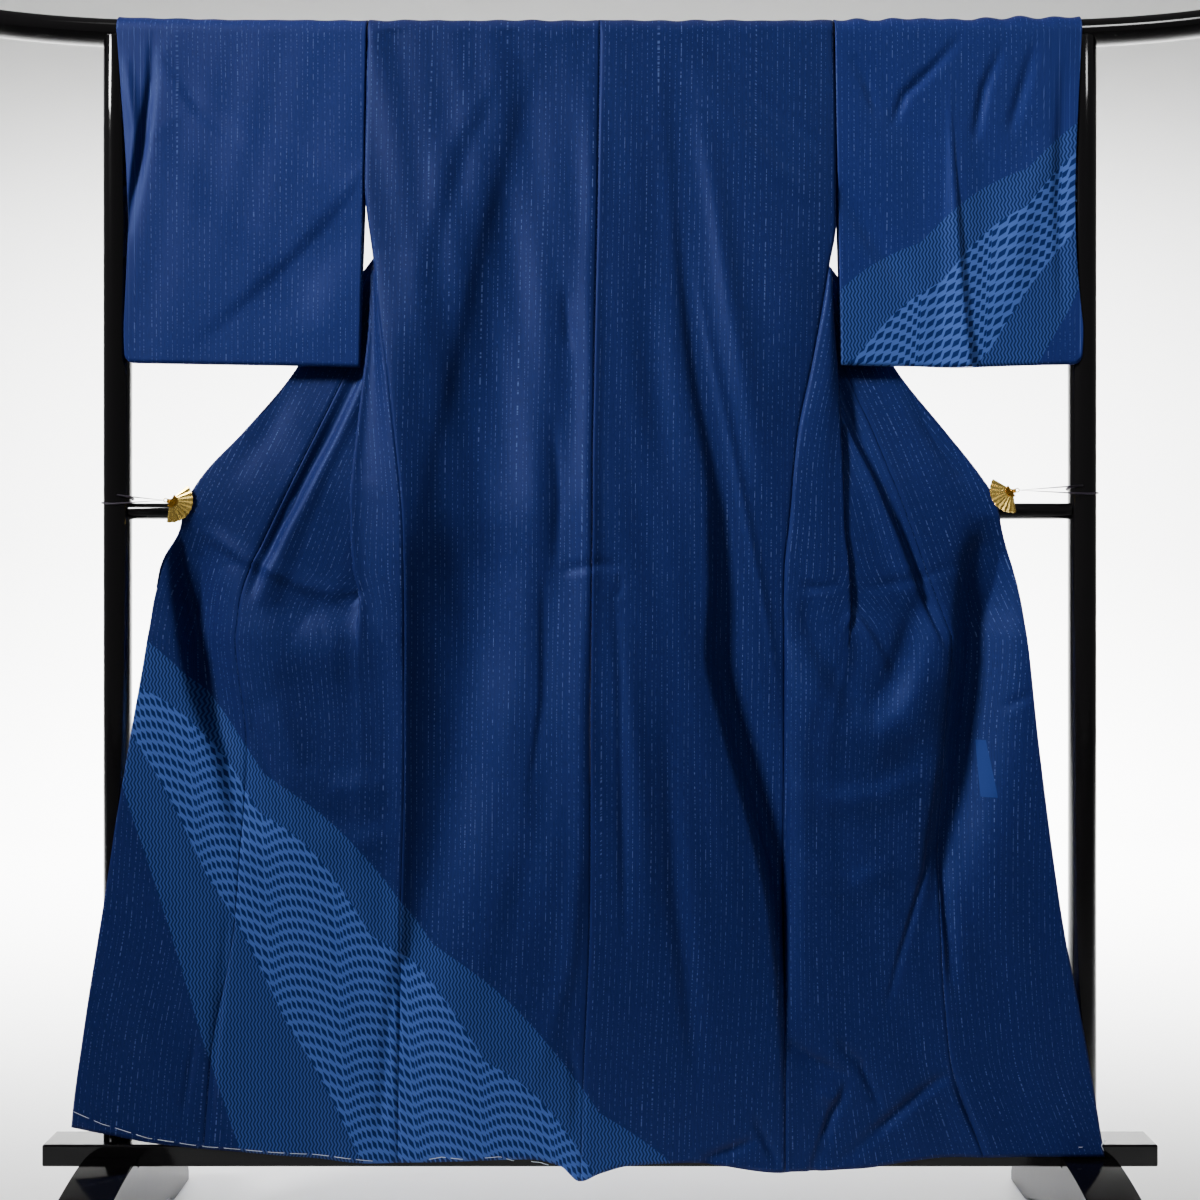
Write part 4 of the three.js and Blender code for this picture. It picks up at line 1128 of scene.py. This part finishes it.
def elastic_loop(name, material):
    """The taut elastic from the clip round its post and back."""
    out, z, _, _ = CLIPS[name]
    sign = SIGN[name]
    around = POST_RADIUS + 0.3 + ELASTIC_RADIUS
    points = [(sign * (out + 9.85), FAN_Y + 0.5, z)]
    for share in np.linspace(0, 1, 35):
        angle = math.radians(7.2 - mix(100, 440, share))
        rise = -5 + 12 * share
        points.append((sign * (POST_X - around * math.cos(angle)), around * math.sin(angle), z + rise))
    return cord(f"elastic_cord_{name}", [points], ELASTIC_RADIUS, material, cyclic=True)


# ---------------------------------------------------------------- the scene
def place(obj, slot, *nodes):
    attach(obj, "root")
    if nodes:
        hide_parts(*nodes)


def build_stand():
    lacquer = lacquer_material()
    place(top_rail(lacquer), "lacquer", "top_rail")
    place(middle_rail(lacquer), "lacquer", "middle_rail")
    place(plank(lacquer), "lacquer", "plank")
    for name, sign in SIGN.items():
        place(post(f"stand_post_{name}", sign, lacquer), "lacquer", f"post_{name}")
        place(foot(f"stand_foot_{name}", sign, lacquer), "lacquer", f"foot_{name}")


def build_clips():
    gold = gold_material("gold", srgb(236, 200, 104))
    dark = gold_material("gold_dark", srgb(176, 128, 40))
    elastic = plain_material("elastic", srgb(30, 18, 38), 0.7)
    for name in SIGN:
        for piece in (fan_plate(name, gold), fan_boss(name, dark), fan_jaw(name, gold), fan_ring(name, gold)):
            place(piece, "fan_gold", f"clip_{name}")
        place(elastic_loop(name, elastic), "elastic", f"elastic_{name}")


# Each kind of panel: its function, its cut width (in millimetres) and length, where its threads start on
# the bolt, and its area where it is cut slanting.
PANELS = {
    "back": (back_panel, BACK_WIDTH, 1.66, 0.0, None),
    "front": (front_panel, FRONT_WIDTH, 1.60, 0.3, None),
    "okumi": (okumi_panel, OKUMI_WIDTH, 1.36, 0.6, 0.165),
}


def build_panel(kind, name, material):
    """One sewn panel, and its grid of points."""
    make, width, length, bolt, cut_area = PANELS[kind]
    grid, across = make(name)
    uv = np.stack([SIGN[name] * (across * MM + bolt), along_columns(grid)], axis=2)
    panel = cloth_shell(f"{kind}_cloth_{name}", grid, uv, material)
    place(panel, "kimono_cloth", f"{kind}_{name}")
    return grid


def build_sleeve(name, material):
    bag = sleeve_bag(name)
    lengths = np.cumsum(np.linalg.norm(np.diff(bag, axis=1), axis=2), axis=1)
    around = np.concatenate([np.zeros((len(bag), 1)), lengths], axis=1)
    uv = np.stack([SIGN[name] * np.abs(bag[:, :, 0]), around], axis=2) * MM
    sleeve = cloth_shell(f"sleeve_cloth_{name}", bag, uv, material, loop=True)
    place(sleeve, "kimono_cloth", f"sleeve_{name}")


def build_collar(material):
    strip = collar_strip()
    reach = np.linspace(0, COLLAR_WIDTH * MM, strip.shape[1])
    uv = np.stack([np.broadcast_to(reach, strip.shape[:2]), along_columns(strip)], axis=2)
    collar = cloth_shell("collar_cloth", strip, uv, material, thickness=1.6)
    place(collar, "kimono_cloth", "collar")


def build_cloth():
    body = cloth_material("kimono_body", BODY_BANDS)
    marked = cloth_material("kimono_body_marked", BODY_BANDS, marked=True)
    # the sleeves' ground is the body's navy painted lighter, as painted light
    sleeves = {
        "left": cloth_material("kimono_sleeve_plain", ground=SLEEVE_NAVY_PAINTED_LIGHT),
        "right": cloth_material("kimono_sleeve_banded", SLEEVE_BANDS, SLEEVE_NAVY_PAINTED_LIGHT),
    }
    grids = []
    for name in SIGN:
        for kind in PANELS:
            material = marked if (kind, name) == ("okumi", "right") else body
            grids.append(build_panel(kind, name, material))
        build_sleeve(name, sleeves[name])
    build_collar(cloth_material("kimono_plain"))
    basting(np.concatenate([grid.reshape(-1, 3) for grid in grids]))


# The white thread that still holds the hem together, as lines of (x, z) points.
BASTING = [
    [(-737, 198), (-696, 180), (-631, 160), (-550, 148), (-461, 141), (-399, 137), (-314, 128)],
    [(-240, 131), (-221, 135), (-190, 132)],
    [(-162, 134), (-140, 136), (-120, 130)],
    [(-96, 129), (-83, 128), (-72, 124)],
    [(668, 148), (674, 148)],
    [(706, 158), (700, 150), (704, 142)],
]
STITCH, STITCH_GAP, THREAD_RADIUS = 27, 4, 0.4


def basting(cloth):
    """Long white stitches that lie on the cloth along the hem, their ends in the cloth."""
    stitches = []
    for line in BASTING:
        line = np.array(line, float)
        before = np.concatenate([[0], np.cumsum(np.hypot(*np.diff(line, axis=0).T))])
        for start in np.arange(0, before[-1] - 2, STITCH + STITCH_GAP):
            stitch = []
            for share in np.linspace(0, 1, 8):
                spot = mix(start, min(start + STITCH, before[-1]), share)
                x, z = (np.interp(spot, before, line[:, axis]) for axis in (0, 1))
                near = cloth[np.argmin(np.hypot(cloth[:, 0] - x, cloth[:, 2] - z) + 0.3 * (cloth[:, 1] + 40))]
                sunk = 0.6 if share in (0, 1) else -0.7
                stitch.append((x, near[1] + sunk, z))
            stitches.append(stitch)
    white = plain_material("basting_white", srgb(196, 204, 216), 0.8)
    place(cord("basting_thread", stitches, THREAD_RADIUS, white, resolution=2), "kimono_cloth")


FLOOR_FRONT, FLOOR_BACK, ROOM_HALF, ROOM_TOP, ROOM_CURVE = -7000, 3400, 8000, 7000, 1200


def build_room():
    """A pale floor that curves up into a pale backdrop."""
    bend = [(FLOOR_BACK + ROOM_CURVE * math.sin(a), ROOM_CURVE - ROOM_CURVE * math.cos(a))
            for a in np.linspace(0.1, math.pi / 2, 16)]
    profile = [(FLOOR_FRONT, 0), (FLOOR_BACK, 0), *bend, (FLOOR_BACK + ROOM_CURVE, ROOM_TOP)]
    points = [(x, y, z) for y, z in profile for x in (-ROOM_HALF, ROOM_HALF)]
    faces = grid_faces(len(profile), 2)
    linked("studio", mesh_from("studio", points, faces, smooth=True), studio_paper())


def build_lights():
    def area(name, place_at, target, size, power, spread=180):
        data = bpy.data.lights.new(name, "AREA")
        data.shape, (data.size, data.size_y) = "RECTANGLE", size
        data.energy, data.spread = power, math.radians(spread)
        obj = bpy.data.objects.new(name, data)
        obj.location = place_at
        obj.rotation_euler = (Vector(target) - Vector(place_at)).to_track_quat("-Z", "Y").to_euler()
        bpy.context.collection.objects.link(obj)

    area("left_softbox", (-4.1, -2.9, 4.4), (0.0, 0, 1.6), (1.1, 1.6), 55, spread=50)
    area("sleeve_softbox", (1.6, -2.4, 3.3), (0.75, 0, 1.5), (0.6, 0.6), 1.5, spread=40)
    area("top_softbox", (-0.4, -1.2, 3.8), (0, 0, 0.9), (2.0, 1.0), 7)
    area("backdrop_light", (0, 0.8, 4.5), (0, 3.2, 0.6), (7.0, 1.2), 1450, spread=82)
    world = bpy.data.worlds.new("studio_air")
    world.use_nodes = True
    world.node_tree.nodes["Background"].inputs[0].default_value = (1, 1, 1, 1)
    world.node_tree.nodes["Background"].inputs[1].default_value = 0.16
    bpy.context.scene.world = world


def build_camera():
    data = bpy.data.cameras.new("camera")
    data.sensor_width, data.lens = 36.0, 41.8
    camera = bpy.data.objects.new("camera", data)
    camera.location = (0.0, -1.977, 0.912)
    camera.rotation_euler = (math.radians(90), 0, 0)
    bpy.context.collection.objects.link(camera)
    bpy.context.scene.camera = camera


build_camera()
build_stand()
build_clips()
build_cloth()
build_room()
build_lights()
